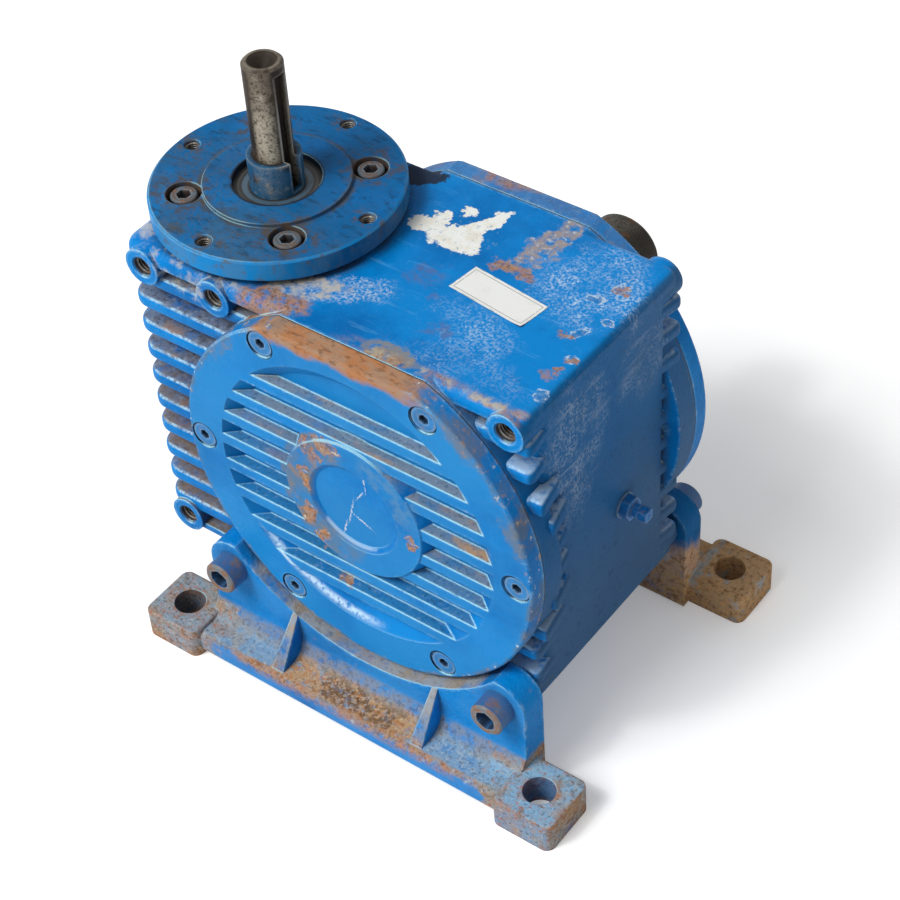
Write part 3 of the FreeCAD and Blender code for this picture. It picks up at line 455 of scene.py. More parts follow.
# Pale dust with a painted highlight on the up-facing fin ends at the right.
fin_ends = housing.both(below_deck, housing.sum(1.0, leftwards, "SUBTRACT"))
housing.broken(fin_ends, (140, 0.30, 0.56), tone(172, 194, 212), 0.5, 0.8)


def deck_patch(x, y, wide, deep, turn=0.0, **outline):
    """Mask of a spot on the deck."""
    return housing.patch((x, y, top), (wide, deep, 0.03), (0, 0, math.radians(turn)), **outline)


def side_patch(y, z, wide, tall, **outline):
    """Mask of a spot on the right side."""
    return housing.patch((right_side, y, z), (0.03, wide, tall), **outline)


# Painted shade: the whole right side, which faces away from the lamps, is laid a darker blue.
housing.lay(right_only, tone(0, 82, 136), 0.40, 0.85)
low_film = housing.both(right_only, housing.step(housing.axis("Z"), top - 0.05, top - 0.20))
housing.lay(low_film, tone(80, 92, 104), 0.5, 0.45)
housing.broken(right_only, (28, 0.50, 0.70), tone(46, 88, 122), 0.5, 0.3)
housing.broken(right_only, (300, 0.56, 0.68), tone(20, 52, 86), 0.5, 0.4)
far_part = housing.both(right_only, housing.step(housing.axis("Y"), 0.0, 0.07))
housing.lay(far_part, tone(86, 112, 138), 0.5, 0.25)
# Painted highlight: pale lines on the rounded fin noses that face up and forward.
noses = housing.both(housing.facing(highlight_way, 0.95, 0.99), under_top, housing.flecks(110, 0.26, 0.56))
housing.broken(noses, (420, 0.34, 0.58), tone(176, 222, 246), 0.25, 0.75)
hazes = ((-0.030, 0.232, 0.038, 0.050, 0.45), (0.040, 0.240, 0.034, 0.034, 0.3),
         (-0.034, 0.196, 0.026, 0.040, 0.25))
for *spot, amount in hazes:
    haze = housing.both(right_only, side_patch(*spot, torn=0.010, low=0.02, high=0.55))
    housing.scuff(haze, tone(176, 192, 208), amount)
    housing.broken(haze, (220, 0.56, 0.64), tone(176, 192, 208), 0.5, 0.4 * amount, stretch=(1, 0.12, 1))
print("films on the right side:", len(housing.tree.nodes), "shader nodes")

# %% [markdown]
# ## Stains on the deck
# Tools were laid on the deck and hands were wiped there. It has pale scuffs, purple stains, cream dust beside
# the flange, rust in front of it and a dark oil spot at the rear. One painted image could hold them all, but
# patches at named places need no unwrapping and stay sharp. In the tables, each row gives a spot's place, its
# two sizes and its turn in degrees, and then, where spots differ, how torn and how strong they are.

# %% Lay the deck's stains
housing.broken(deck_only, (16, 0.50, 0.70), tone(34, 136, 206), 0.36, 0.4)
scuffs = ((0.046, -0.030, 0.040, 0.026, -20, 0.010, 0.6, tone(176, 206, 232), 0.7),
          (0.060, -0.060, 0.055, 0.016, 0, 0.010, 0.5, tone(150, 176, 210), 0.55),
          (-0.030, -0.040, 0.034, 0.013, 32, 0.006, 0.4, tone(214, 224, 232), 0.7))
for *spot, torn, high, colour, amount in scuffs:
    housing.scuff(deck_patch(*spot, torn=torn, low=0.02, high=high), colour, amount)
stains = ((-0.004, -0.006, 0.016, 0.012, 30), (0.030, -0.042, 0.012, 0.008, 0),
          (0.010, -0.020, 0.008, 0.006, 0))
for spot in stains:
    stain = deck_patch(*spot, torn=0.006, low=0.02, high=0.5)
    housing.broken(stain, (160, 0.40, 0.62), tone(104, 92, 122), 0.5, 0.45)
dusts = ((-0.050, -0.050, 0.032, 0.011, 30, 0.006, (130, 0.36, 0.60), dust_cream, 0.85),
         (-0.165, -0.046, 0.020, 0.022, 0, 0.008, (110, 0.36, 0.58), tone(200, 200, 198), 0.8),
         (-0.118, -0.070, 0.050, 0.010, 0, 0.006, (150, 0.46, 0.64), dust_cream, 0.6))
for *spot, torn, flecks, colour, amount in dusts:
    housing.broken(deck_patch(*spot, torn=torn, low=0.05, high=0.4), flecks, colour, 0.8, amount)
housing.rust(deck_patch(-0.062, -0.071, 0.028, 0.016, 15, torn=0.006, low=0.05, high=0.35), 0.85)
housing.lay(deck_patch(-0.060, 0.068, 0.020, 0.016, torn=0.005), tone(44, 40, 38), 0.7, 0.9)
rear_scuff = deck_patch(0.080, 0.036, 0.040, 0.044, 20, torn=0.006, low=0.02, high=0.5)
housing.scuff(rear_scuff, tone(202, 222, 240), 0.75)
print("films on the deck so far:", len(housing.tree.nodes), "shader nodes")

# %% [markdown]
# ## Bare primer, chips and rust on the deck
# Where the blue has come off beside the flange, white primer shows, yellowed and cracked. The smaller chips
# along the right edge have fresh blue in their middles. Rust and dirt lie along the joint with the front
# cover. Rust is laid after the primer, because it grows through all the paint, and painted edge highlights
# close the stack.

# %% Add the torn patch, the chips and the rust marks
white_marks = ((-0.0290, 0.0300, 0.016, 0.009, 0), (-0.0090, 0.0300, 0.022, 0.013, 20),
               (0.0000, 0.0480, 0.007, 0.024, -20), (0.0010, 0.0270, 0.012, 0.010, 0),
               (-0.0153, 0.0536, 0.006, 0.005, 0), (-0.0250, 0.0400, 0.007, 0.009, 0))
for spot in white_marks:
    white = deck_patch(*spot, torn=0.0035)
    housing.lay(white, tone(234, 236, 232), 0.6)
    housing.broken(white, (110, 0.44, 0.62), tone(222, 214, 196), 0.7, 0.6)
cracked = deck_patch(-0.010, 0.034, 0.034, 0.024, torn=0.0035)
housing.broken(cracked, (260, 0.57, 0.66), tone(120, 152, 176), 0.6, 0.65)
chips = ((0.1037, 0.0137, 0.006, 0.004, 0), (0.0953, 0.0411, 0.007, 0.004, 30),
         (0.0877, 0.0265, 0.008, 0.005, 10), (0.0961, -0.0009, 0.009, 0.004, 60),
         (0.1047, -0.0212, 0.006, 0.004, 0), (0.1060, -0.0529, 0.005, 0.006, 0))
for x, y, wide, deep, turn in chips:
    chip = deck_patch(x, y, wide, deep, turn, torn=0.002)
    housing.broken(chip, (300, 0.40, 0.54), tone(196, 212, 224), 0.6, 0.8)
    housing.lay(deck_patch(x, y, 0.7 * wide, 0.7 * deep, turn, torn=0.002), tone(20, 112, 182), 0.5, 0.8)
rust_marks = ((0.0297, 0.0236, 0.013, 0.006, 10), (0.0420, 0.0232, 0.013, 0.006, -10),
              (0.1055, -0.0223, 0.004, 0.003, 0), (0.1038, -0.0312, 0.004, 0.003, 0),
              (0.0965, 0.0400, 0.005, 0.003, 0), (0.0921, -0.0074, 0.006, 0.003, 0))
for spot in rust_marks:
    housing.rust(deck_patch(*spot, torn=0.004, low=0.10, high=0.40), 0.85)
scrape = deck_patch(0.0395, 0.0520, 0.012, 0.034, -8, torn=0.006, low=0.05, high=0.35)
housing.broken(scrape, (160, 0.36, 0.56), tone(172, 150, 124), 0.8, 0.75)
housing.broken(scrape, (300, 0.54, 0.66), tone(196, 208, 216), 0.7, 0.7)
front_dirt = deck_patch(0.0213, -0.0700, 0.020, 0.010, torn=0.004, low=0.05)
housing.broken(front_dirt, (170, 0.30, 0.54), tone(146, 136, 112), 0.8, 0.75)
seam = housing.both(deck_only, housing.step(housing.axis("Y"), -0.0655, -0.0715),
                    housing.step(housing.axis("X"), -0.02, 0.02))
housing.rust(housing.both(seam, housing.flecks(46, 0.44, 0.58, stretch=(0.5, 1, 1))), 0.7)
caked = housing.both(seam, housing.flecks(70, 0.48, 0.60))
housing.broken(caked, (360, 0.36, 0.56), tone(190, 178, 150), 0.8, 0.7)
housing.rust(deck_patch(0.1000, -0.0390, 0.006, 0.007, torn=0.004, low=0.10, high=0.5), 0.6)
housing.broken(deck_only, (240, 0.60, 0.70), tone(104, 178, 226), 0.4, 0.2, stretch=(0.15, 1, 1))
tapped_bosses = ((-0.153, 0.065), (-0.153, 0.265), (-0.100, 0.265), (0.100, 0.265))
# Painted shade: the mouths of the tapped holes in the corner bosses are laid dark.
for x, z in tapped_bosses:
    housing.lay(housing.ring((x, 0, z), "Y", -1.0, 0.0064, soft=0.0003), tone(66, 60, 54), 0.6, 0.9)
# Painted highlights along the housing's edges that face up and forward.
paint_edge_highlights(housing, 0.8)
housing.put_on("housing")

# %% [markdown]
# ## The front cover
# Two round covers close the wheel chamber. The front one has ribs with dust in the grooves between them, dry
# and tan towards the upper right. The dust is held to the faces that look up inside the ribs' circle.

# %% Lay the front cover's broad films
cover = aged_blue("front_cover_paint", grime_and_shade=0.6, reach=0.0035)


def cover_patch(x, z, wide, tall, turn=0.0, **outline):
    """Mask of a spot on the front cover."""
    return cover.patch((x, cover_face, z), (wide, 0.03, tall), (0, math.radians(turn), 0), **outline)


even = cover.both(cover.facing((0, -1, 0), 0.7, 0.95), cover.flecks(14, 0.26, 0.60))
cover.lay(even, tone(42, 136, 198), 0.28, 0.65)
groove = cover.both(cover.facing((0, 0, 1), 0.55, 0.9), cover.ring(axle, "Y", 0.030, 0.099))
upper_grooves = cover.step(cover.sum(cover.axis("Z"), cover.both(cover.axis("X"), 0.35)), 0.125, 0.205)
cover.broken(groove, (90, 0.20, 0.50), tone(50, 120, 162), 0.7, 0.75)
dry_dust = cover.both(groove, upper_grooves)
cover.broken(dry_dust, (60, 0.26, 0.54), tone(142, 144, 138), 0.8, 0.65, stretch=(0.4, 1, 1))
cover.broken(dry_dust, (50, 0.52, 0.66), tone(188, 146, 100), 0.85, 0.85, stretch=(0.4, 1, 1))
cover.broken(groove, (420, 0.50, 0.68), tone(32, 68, 92), 0.85, 0.5)
cover.broken(groove, (330, 0.54, 0.70), tone(176, 194, 204), 0.8, 0.22)
# Painted shade: the walls that face right, away from the lamps, are laid a darker blue.
shaded_end_walls = cover.both(cover.facing((1, 0, 0), 0.35, 0.7), cover.ring(axle, "Y", 0.060, 0.099))
cover.lay(shaded_end_walls, tone(0, 66, 116), 0.4, 0.7)
print("films on the cover so far:", len(cover.tree.nodes), "shader nodes")

# %% [markdown]
# ## The cover's top edge and rim
# Wet dust lay on the flat top edge for years, and it has rusted. Its mask is a height that is pushed up and
# down by noise, so the rust ends in a torn line. The rim round the disc holds grey dirt with stains, and a
# dark ring of painted shade fills the gap around each screw.

# %% Add the rusty top edge and the stains of the rim
torn_height = cover.sum(cover.axis("Z"), cover.both(cover.noise(75, stretch=(0.5, 1, 1)), 0.016))
rusty_end = cover.step(cover.sum(cover.axis("X"), cover.both(cover.noise(60), 0.03)), 0.080, 0.055)
top_band = cover.both(cover.step(torn_height, deck_height - 0.002, deck_height + 0.004), rusty_end)
cover.lay(top_band, rust_tan, 0.85, 0.95)
cover.broken(top_band, (130, 0.42, 0.62), tone(182, 120, 74), 0.85, 0.8, stretch=(0.4, 1, 1))
cover.broken(top_band, (300, 0.50, 0.66), rust_brown, 0.85, 0.55, stretch=(0.5, 1, 1))
cover.broken(top_band, (70, 0.60, 0.68), tone(70, 130, 180), 0.6, 0.8)
rim_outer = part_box("front_cover")[1].x
rim = cover.ring(axle, "Y", rim_outer - 0.003, rim_outer + 0.01)
cover.broken(rim, (55, 0.44, 0.62), tone(100, 106, 108), 0.75, 0.6)
cover.broken(rim, (130, 0.56, 0.68), rust_tan, 0.8, 0.6)
cover.broken(rim, (240, 0.62, 0.69), primer_white, 0.7, 0.7)
cover_screw_circle = 0.1115
for number in range(6):
    screw_turn = math.radians(60 * number)
    screw_place = (axle.x + cover_screw_circle * math.cos(screw_turn), 0,
                   axle.z + cover_screw_circle * math.sin(screw_turn))
    # Painted shade: a dark ring in the gap around each screw head.
    cover.lay(cover.ring(screw_place, "Y", 0.0084, 0.0093, soft=0.0003), tone(10, 24, 38), 0.6, 0.95)
rim_stains = ((-0.092, 0.243, 0.008, 0.030, 38), (0.078, 0.262, 0.012, 0.034, -38),
              (0.108, 0.212, 0.007, 0.034, -15), (0.112, 0.090, 0.007, 0.030, 20))
for spot in rim_stains:
    stain = cover.both(cover_patch(*spot, torn=0.006, low=0.05, high=0.6), cover.flecks(60, 0.36, 0.60))
    cover.lay(stain, tone(120, 116, 106), 0.7, 0.6)
    cover.broken(stain, (200, 0.54, 0.68), rust_tan, 0.8, 0.6)
print("films on the cover so far:", len(cover.tree.nodes), "shader nodes")

# %% [markdown]
# ## The cover's worn ring, rust spots and scratches
# The ring in the middle is worn to brown on its left side and spotted with rust. The white scratches across
# the disc are patches too, about a millimetre wide and hardly torn. Two pale arcs stand for the glints on the
# round corners of the recesses, which are too narrow for the lamps to draw well.

# %% Add the worn ring, the rust spots and the scratches
boss_ring = cover.both(cover.ring(axle, "Y", 0.0300, 0.0530), cover.facing((0, -1, 0), 0.3, 0.6))
left_half = cover_patch(-0.034, 0.168, 0.040, 0.070, -15, torn=0.010, low=0.02, high=0.35)
worn_side = cover.both(boss_ring, left_half)
cover.broken(worn_side, (80, 0.30, 0.60), tone(110, 118, 120), 0.7, 0.65)
cover.broken(worn_side, (140, 0.52, 0.66), tone(150, 124, 98), 0.7, 0.6)
cover.broken(worn_side, (240, 0.52, 0.64), tone(78, 118, 148), 0.6, 0.6)
worn_right = cover.both(boss_ring, cover_patch(0.030, 0.196, 0.034, 0.036, torn=0.010, low=0.05, high=0.5))
cover.broken(worn_right, (100, 0.40, 0.60), tone(112, 146, 168), 0.7, 0.4)
rust_spots = ((-0.0300, 0.1980, 0.014, 0.0065, 35), (-0.0150, 0.2060, 0.014, 0.0055, 0),
              (-0.0335, 0.1740, 0.005, 0.0110, 8), (-0.0350, 0.1440, 0.0055, 0.012, 15),
              (-0.0260, 0.1290, 0.010, 0.0065, -35), (-0.0270, 0.1210, 0.007, 0.004, 0),
              (0.0416, 0.1605, 0.004, 0.007, 0), (-0.0165, 0.0980, 0.009, 0.0045, 15))
for spot in rust_spots:
    rusted = cover_patch(*spot, torn=0.004, low=0.10, high=0.26)
    cover.rust(rusted)
    cover.broken(rusted, (300, 0.58, 0.68), primer_white, 0.7, 0.6)
scratches = ((0.0085, 0.1870, 0.0006, 0.0090, -4), (0.0040, 0.1760, 0.0006, 0.0080, 32),
             (-0.0035, 0.1600, 0.0006, 0.0150, 14), (-0.0090, 0.1450, 0.0007, 0.0090, 16),
             (0.0040, 0.1560, 0.0120, 0.0006, 24))
for spot in scratches:
    scratch = cover_patch(*spot, torn=0.0006, detail=1.0, low=0.05, high=0.6)
    cover.broken(scratch, (260, 0.30, 0.50), primer_white, 0.6, 0.75)
glint = cover.both(cover.ring(axle, "Y", 0.0928, 0.0958, soft=0.0014),
                   cover_patch(-0.036, 0.080, 0.058, 0.034, 25, torn=0.002, low=0.02, high=0.45))
cover.broken(glint, (420, 0.26, 0.58), tone(206, 232, 248), 0.25, 0.85)
glint = cover.both(cover.ring(axle, "Y", 0.0286, 0.0302, soft=0.0008),
                   cover_patch(-0.008, 0.1370, 0.026, 0.014, torn=0.002, low=0.02, high=0.4))
cover.lay(glint, tone(208, 232, 244), 0.25, 0.45)
# Painted highlights along the ribs and the rim, kept off the rusty top band.
paint_edge_highlights(cover, 0.95, cover.sum(1.0, top_band, "SUBTRACT"), 0.0018)
cover.put_on("front_cover")

# %% [markdown]
# ## The rear cover and the end cap
# These two were sheltered, so they get the shared paint, with a little dust and rust on the faces that
# look up.

# %% Finish the rear cover and the end cap
rear = aged_blue("rear_cover_paint", grime_and_shade=0.6, reach=0.0035, wear=0.6)
lay_dust(rear, rear.facing((0, 0, 1)), 0.25)
rear.rust(rear.both(rear.facing((0, 0, 1)), rear.flecks(40, 0.54, 0.66, stretch=(0.4, 1, 1))), 0.6)
# Painted highlights along the edges that face up and forward.
paint_edge_highlights(rear, 0.6)
rear.put_on("rear_cover", "worm_end_cap")

# %% [markdown]
# ## The input flange
# The motor stood on this flange, so its top is smeared with brown oil that was wiped about by hand, mostly
# towards the front left. The smears are noise stretched along one direction, as a rag leaves them. The wall
# of the disc is a brighter blue, with painted shade on its right, and the mouth of the bore is laid dark as
# painted shade.

# %% Lay the flange's broad films
flange = aged_blue("flange_paint", grime_and_shade=0.9, wear=0.5, lumps=0.2)
flange.lay(flange.flecks(20, 0.20, 0.60), tone(0, 90, 144), 0.34, 0.85)
toward_front = flange.sum(flange.both(flange.axis("X"), -0.4), flange.both(flange.axis("Y"), -1.0))
front_left = flange.step(toward_front, -0.4 * worm_axis.x - 0.03, -0.4 * worm_axis.x + 0.07)
smeared = flange.sum(front_left, 0.08)
flange.broken(smeared, (46, 0.40, 0.62), tone(66, 98, 120), 0.5, 0.5, stretch=(1.0, 0.4, 1.0))
oiled = flange.sum(flange.both(front_left, 0.8), 0.15)
flange.broken(oiled, (110, 0.50, 0.66), tone(68, 72, 72), 0.6, 0.8, stretch=(0.45, 1.0, 1.0))
flange.lay(flange.flecks(260, 0.52, 0.66, stretch=(0.4, 1.0, 1.0)), tone(16, 58, 90), 0.6, 0.55)
flange.lay(flange.flecks(420, 0.60, 0.70), tone(48, 50, 52), 0.6, 0.5)
flange.broken(oiled, (480, 0.62, 0.72), tone(110, 150, 176), 0.6, 0.4)
side_wall = flange.ring(worm_axis, "Z", 0.0738, 0.0800, soft=0.0006)
flange.lay(side_wall, tone(8, 138, 210), 0.30, 0.85)
# Painted shade on the side of the wall that faces away from the lamps.
shaded_side = flange.both(side_wall, flange.facing((1, 0, 0), 0.5, 1.0))
flange.lay(shaded_side, tone(24, 62, 88), 0.5, 0.75)
flange.broken(side_wall, (60, 0.40, 0.62), tone(86, 120, 142), 0.5, 0.4, stretch=(1, 1, 0.4))
flange.broken(side_wall, (200, 0.56, 0.68), tone(92, 84, 74), 0.6, 0.6)
flange.scuff(flange.both(oiled, flange.facing((0, 0, 1))), tone(88, 86, 80), 0.75)
spigot = flange.ring(worm_axis, "Z", 0.0425, 0.0465)
flange.broken(spigot, (70, 0.34, 0.56), tone(80, 78, 72), 0.6, 0.75)
# Painted shade: the mouth of the bore is laid almost black.
mouth = flange.ring(worm_axis, "Z", 0.0150, 0.0272, soft=0.0008)
flange.broken(mouth, (90, 0.22, 0.50), tone(36, 34, 33), 0.6, 0.9)
print("films on the flange so far:", len(flange.tree.nodes), "shader nodes")

# %% [markdown]
# ## Rust in the flange's holes
# Water stood in the four counterbores and in the four tapped holes, so each is brown inside and has a torn
# brown stain around it. The holes' places are worked out on their circles about the worm's axis.

# %% Add the rust in the holes
flange_screw_circle = 0.0538
flange_tap_circle = 0.065


def about_worm(radius, turn):
    """X and Y of a place on a circle about the worm's axis."""
    spot = Matrix.Rotation(math.radians(turn), 3, "Z") @ Vector((radius, 0, 0))
    return worm_axis.x + spot.x, worm_axis.y + spot.y


for turn in (45, 135, 225, 315):
    bored = (*about_worm(flange_screw_circle, turn), flange_top)
    pocket = flange.ring(bored, "Z", -1.0, 0.0110, soft=0.0006)
    flange.broken(pocket, (140, 0.24, 0.50), tone(96, 78, 62), 0.75, 0.9)
    around = flange.patch(bored, (0.024, 0.024, 0.03), torn=0.005, low=0.02, high=0.4)
    flange.broken(around, (160, 0.46, 0.60), tone(84, 74, 64), 0.7, 0.75)
for turn in (0, 90, 180, 270):
    tapped = (*about_worm(flange_tap_circle, turn), flange_top)
    flange.lay(flange.ring(tapped, "Z", -1.0, 0.0046, soft=0.0003), tone(66, 54, 46), 0.6, 0.9)
    around = flange.patch(tapped, (0.013, 0.010, 0.03), torn=0.004, low=0.02, high=0.4)
    flange.broken(around, (180, 0.46, 0.60), tone(88, 78, 68), 0.7, 0.65)
# Painted highlights along the flange's edges, such as its top outer edge.
paint_edge_highlights(flange, 0.5)
flange.put_on("input_flange")

# %% [markdown]
# ## The feet's level tops
# Both feet are castings that have lost most of the paint on their level tops, where water stood. On the bar
# the rust is orange in the middle. Dust lies on the sloped webs, and the outer lip has rusted in stretches.
# One function serves both feet: `side` is -1 for the front foot and 1 for the rear one, which is turned
# round.

# %% Define the films of the level tops
bar_level = 0.018


def rusty_tops(foot, side):
    """Rust on the level tops and the outer lip, and dust on the webs. Returns the tops' mask."""
    level = foot.both(foot.facing((0, 0, 1), 0.68, 0.95), foot.step(foot.axis("Z"), 0.044, 0.030))
    foot.broken(level, (70, 0.22, 0.46), tone(132, 164, 188), 0.75, 0.9)
    foot.broken(level, (52, 0.50, 0.64), tone(168, 146, 116), 0.8, 0.55)
    foot.broken(level, (240, 0.50, 0.66), tone(186, 192, 194), 0.8, 0.4)
    foot.broken(level, (360, 0.52, 0.66), tone(70, 72, 74), 0.85, 0.5)
    bar = foot.patch((-0.004, side * 0.112, bar_level), (0.074, 0.05, 0.04), torn=0.012)
    bar = foot.both(level, bar)
    foot.broken(bar, (110, 0.30, 0.54), tone(198, 154, 100), 0.85, 0.85)
    foot.broken(bar, (90, 0.56, 0.66), tone(92, 150, 190), 0.6, 0.75)
    foot.broken(bar, (260, 0.48, 0.62), tone(186, 116, 58), 0.85, 0.7)
    core = foot.patch((0.008, side * 0.110, bar_level), (0.040, 0.03, 0.04), torn=0.010)
    foot.broken(foot.both(level, core), (280, 0.38, 0.56), tone(112, 80, 52), 0.85, 0.8)
    foot.broken(bar, (560, 0.52, 0.64), tone(84, 58, 38), 0.85, 0.5)
    foot.broken(level, (640, 0.55, 0.66), tone(214, 212, 202), 0.8, 0.45)
    below_bolts = foot.step(foot.axis("Z"), 0.110, 0.080)
    sloped = foot.both(foot.facing((0, 0.7 * side, 0.7), 0.82, 0.97), below_bolts)
    foot.broken(sloped, (120, 0.30, 0.55), tone(150, 142, 128), 0.8, 0.6)
    foot.broken(sloped, (420, 0.50, 0.64), tone(84, 78, 70), 0.8, 0.5)
    outward = foot.step(foot.both(foot.axis("Y"), side), 0.112, 0.119)
    lip = foot.both(foot.step(foot.axis("Z"), 0.008, 0.018), foot.facing((0, side, 0.5), 0.5, 0.8), outward)
    foot.rust(foot.both(lip, foot.flecks(34, 0.40, 0.56, stretch=(0.4, 1, 1))), 0.9)
    foot.broken(lip, (180, 0.60, 0.70), tone(196, 206, 210), 0.7, 0.6)
    return level


print("rust on the bars about Z =", bar_level)

# %% [markdown]
# ## The feet's pads
# The pads with the bolt holes are a mottle of rust, grey scale and the last flakes of blue. Many thin films
# of noise in different sizes look more like rust than one noise does, because real rust has grains of all
# sizes. A torn height keeps the rust off the upright plate.

# %% Define the films of the pads
foot_hole_x, foot_hole_y = 0.134, 0.1055


def mottled_pads(foot, side, level, left_blue, right_blue):
    """Rust and grey scale on the two pads, with more or less blue left on each."""
    torn_height = foot.sum(foot.axis("Z"), foot.both(foot.noise(90), 0.016))
    below_plate = foot.step(torn_height, 0.037, 0.032)
    for end, blue in ((-1, left_blue), (1, right_blue)):
        pad_place = (end * foot_hole_x, side * foot_hole_y, 0.012)
        pad = foot.patch(pad_place, (0.040, 0.040, 0.06), torn=0.006, low=0.02, high=0.14)
        pad = foot.both(pad, below_plate)
        foot.broken(pad, (90, 0.22, 0.44), tone(152, 150, 142), 0.8, 0.9)
        foot.broken(pad, (50, 0.42, 0.62), tone(168, 128, 86), 0.85, 0.75)
        flakes = foot.both(pad, foot.flecks(44, 0.36, 0.54), foot.flecks(300, 0.24, 0.44), blue)
        foot.lay(foot.both(flakes, level), tone(126, 178, 214), 0.6, 0.9)
        foot.lay(foot.both(flakes, foot.facing((0, side, 0), 0.6, 0.9)), tone(92, 152, 200), 0.6, 0.6)
        foot.broken(pad, (160, 0.50, 0.68), tone(122, 92, 66), 0.85, 0.6)
        foot.broken(pad, (330, 0.52, 0.72), tone(206, 206, 198), 0.6, 0.45)
        foot.broken(pad, (270, 0.54, 0.64), tone(188, 104, 48), 0.85, 0.45)
        foot.broken(pad, (520, 0.52, 0.66), tone(48, 40, 34), 0.8, 0.55)
        hole = foot.ring(pad_place, "Z", -1.0, 0.0101, soft=0.0003)
        foot.lay(hole, tone(24, 92, 150) if blue > 0.5 else tone(44, 46, 52), 0.6, 0.7)
        foot.broken(foot.both(pad, foot.edge(0.004)), (120, 0.40, 0.60), tone(160, 104, 60), 0.85, 0.6)


print("foot holes at X", foot_hole_x, "and Y", foot_hole_y)

# %% [markdown]
# ## Both feet
# The upright plates and the fronts are still blue under a pale haze, and dust lies in the hollow arc on top
# of each plate. The rear foot stood in the wet, so its lower part is nearly all rust and the rest is dull.


# %% Finish the feet
def dusty_arc(foot):
    """Grey dust in the hollow arc on top of the plate."""
    between = foot.both(foot.step(foot.axis("X"), -0.088, -0.080), foot.step(foot.axis("X"), 0.088, 0.080))
    arc = foot.both(foot.facing((0, 0, 1), 0.2, 0.7), foot.step(foot.axis("Z"), 0.030, 0.040), between)
    foot.broken(arc, (60, 0.25, 0.50), tone(158, 160, 160), 0.8, 0.9)
    foot.broken(arc, (45, 0.52, 0.64), tone(160, 140, 114), 0.85, 0.7)
    foot.broken(arc, (300, 0.52, 0.66), tone(96, 98, 100), 0.85, 0.5)


def rusty_foot(name, side, left_blue, right_blue):
    """Blue casting whose level tops have rusted, with more or less paint left on its two pads."""
    foot = aged_blue(name, grime_and_shade=0.7, wear=0.7, lumps=0.9)
    plate = foot.both(foot.facing((0, side, 0), 0.5, 0.9), foot.flecks(26, 0.30, 0.60))
    foot.lay(plate, tone(76, 146, 204), 0.34, 0.4)
    level = rusty_tops(foot, side)
    mottled_pads(foot, side, level, left_blue, right_blue)
    dusty_arc(foot)
    foot.rust(foot.flecks(90, 0.66, 0.74), 0.7)
    return foot


front_foot = rusty_foot("front_foot_finish", -1, 0.4, 0.9)
# Painted highlights along the foot's edges that face up and forward.
paint_edge_highlights(front_foot, 0.6)
front_foot.put_on("front_foot")
rear_foot = rusty_foot("rear_foot_finish", 1, 0.3, 0.3)
rear_foot.lay(rear_foot.step(rear_foot.axis("Z"), 0.040, 0.055), tone(0, 76, 124), 0.4, 0.7)
torn_height = rear_foot.sum(rear_foot.axis("Z"), rear_foot.both(rear_foot.noise(60), 0.03))
low_part = rear_foot.step(torn_height, 0.074, 0.058)
# Painted light: the rust on the lower part is laid in lighter colours, to make up for the housing's shadow.
rear_foot.broken(low_part, (70, 0.20, 0.42), tone(194, 156, 112), 0.85, 0.9)
rear_foot.broken(low_part, (230, 0.48, 0.66), tone(112, 76, 48), 0.85, 0.65)
rear_foot.broken(low_part, (70, 0.53, 0.64), tone(150, 170, 182), 0.7, 0.7)
rear_foot.broken(low_part, (300, 0.54, 0.68), tone(226, 166, 104), 0.85, 0.6)
rear_foot.broken(low_part, (420, 0.56, 0.68), tone(52, 40, 32), 0.85, 0.6)
rear_foot.put_on("rear_foot")

# %% [markdown]
# ## Screws, bolts and the oil plug
# The cover screws and the oil plug were painted with the casting. The bolts of the feet were too, and have
# rusted on their heads. The flange's screws were fitted later and are bare brown steel.

# %% Finish the fasteners
def worn_screw(name, base, rust, amount):
    """Painted or bare fastener with rust, pale worn edges and painted shade in its socket."""
    screw = Finish(name, base, 0.42, shine=0.3)
    screw.lay(screw.flecks(160, 0.42, 0.60), rust, 0.75, amount)
    screw.lay(screw.flecks(420, 0.56, 0.68), rust_orange, 0.85, 0.6 * amount)
    # Painted shade: the socket and the corners are laid near black.
    screw.lay(screw.crevice(0.006), tone(26, 26, 28), 0.7, 0.95)
    screw.lay(screw.edge(0.0015), tone(150, 176, 194), 0.35, 0.3)
    screw.relief(screw.noise(600), 0.0003, 0.4, rounding=0.0006)
    return screw


cover_screw = worn_screw("painted_cover_screws", tone(30, 124, 190), tone(50, 96, 130), 0.4)
cover_screw.put_on("front_cover_screws", "rear_cover_screws", "worm_end_cap_screws")
foot_bolt = worn_screw("rusty_foot_bolts", tone(104, 108, 112), tone(130, 92, 64), 0.9)
barrel = foot_bolt.facing((0, 1, 0), -0.7, -0.4)
foot_bolt.broken(barrel, (70, 0.30, 0.52), tone(30, 98, 154), 0.45, 0.8)
foot_bolt_reach = 0.100
for across in (-foot_bolt_reach, foot_bolt_reach):
    # Painted shade: the socket of each bolt head is laid dark.
    socket = foot_bolt.ring((across, 0, axle.z - foot_bolt_reach), "Y", -1.0, 0.0064, soft=0.0004)
    foot_bolt.lay(socket, tone(22, 34, 48), 0.6, 0.8)
foot_bolt.put_on("front_foot_bolts", "rear_foot_bolts")
flange_screw = worn_screw("brown_flange_screws", tone(74, 88, 98), tone(98, 74, 58), 0.85)
flange_screw.put_on("input_flange_screws", "wheel_rim_bolts")
plug_paint = worn_screw("painted_oil_plug", tone(8, 112, 184), tone(0, 80, 140), 0.6)
plug_paint.put_on("oil_plug", "oil_plug_bushing")

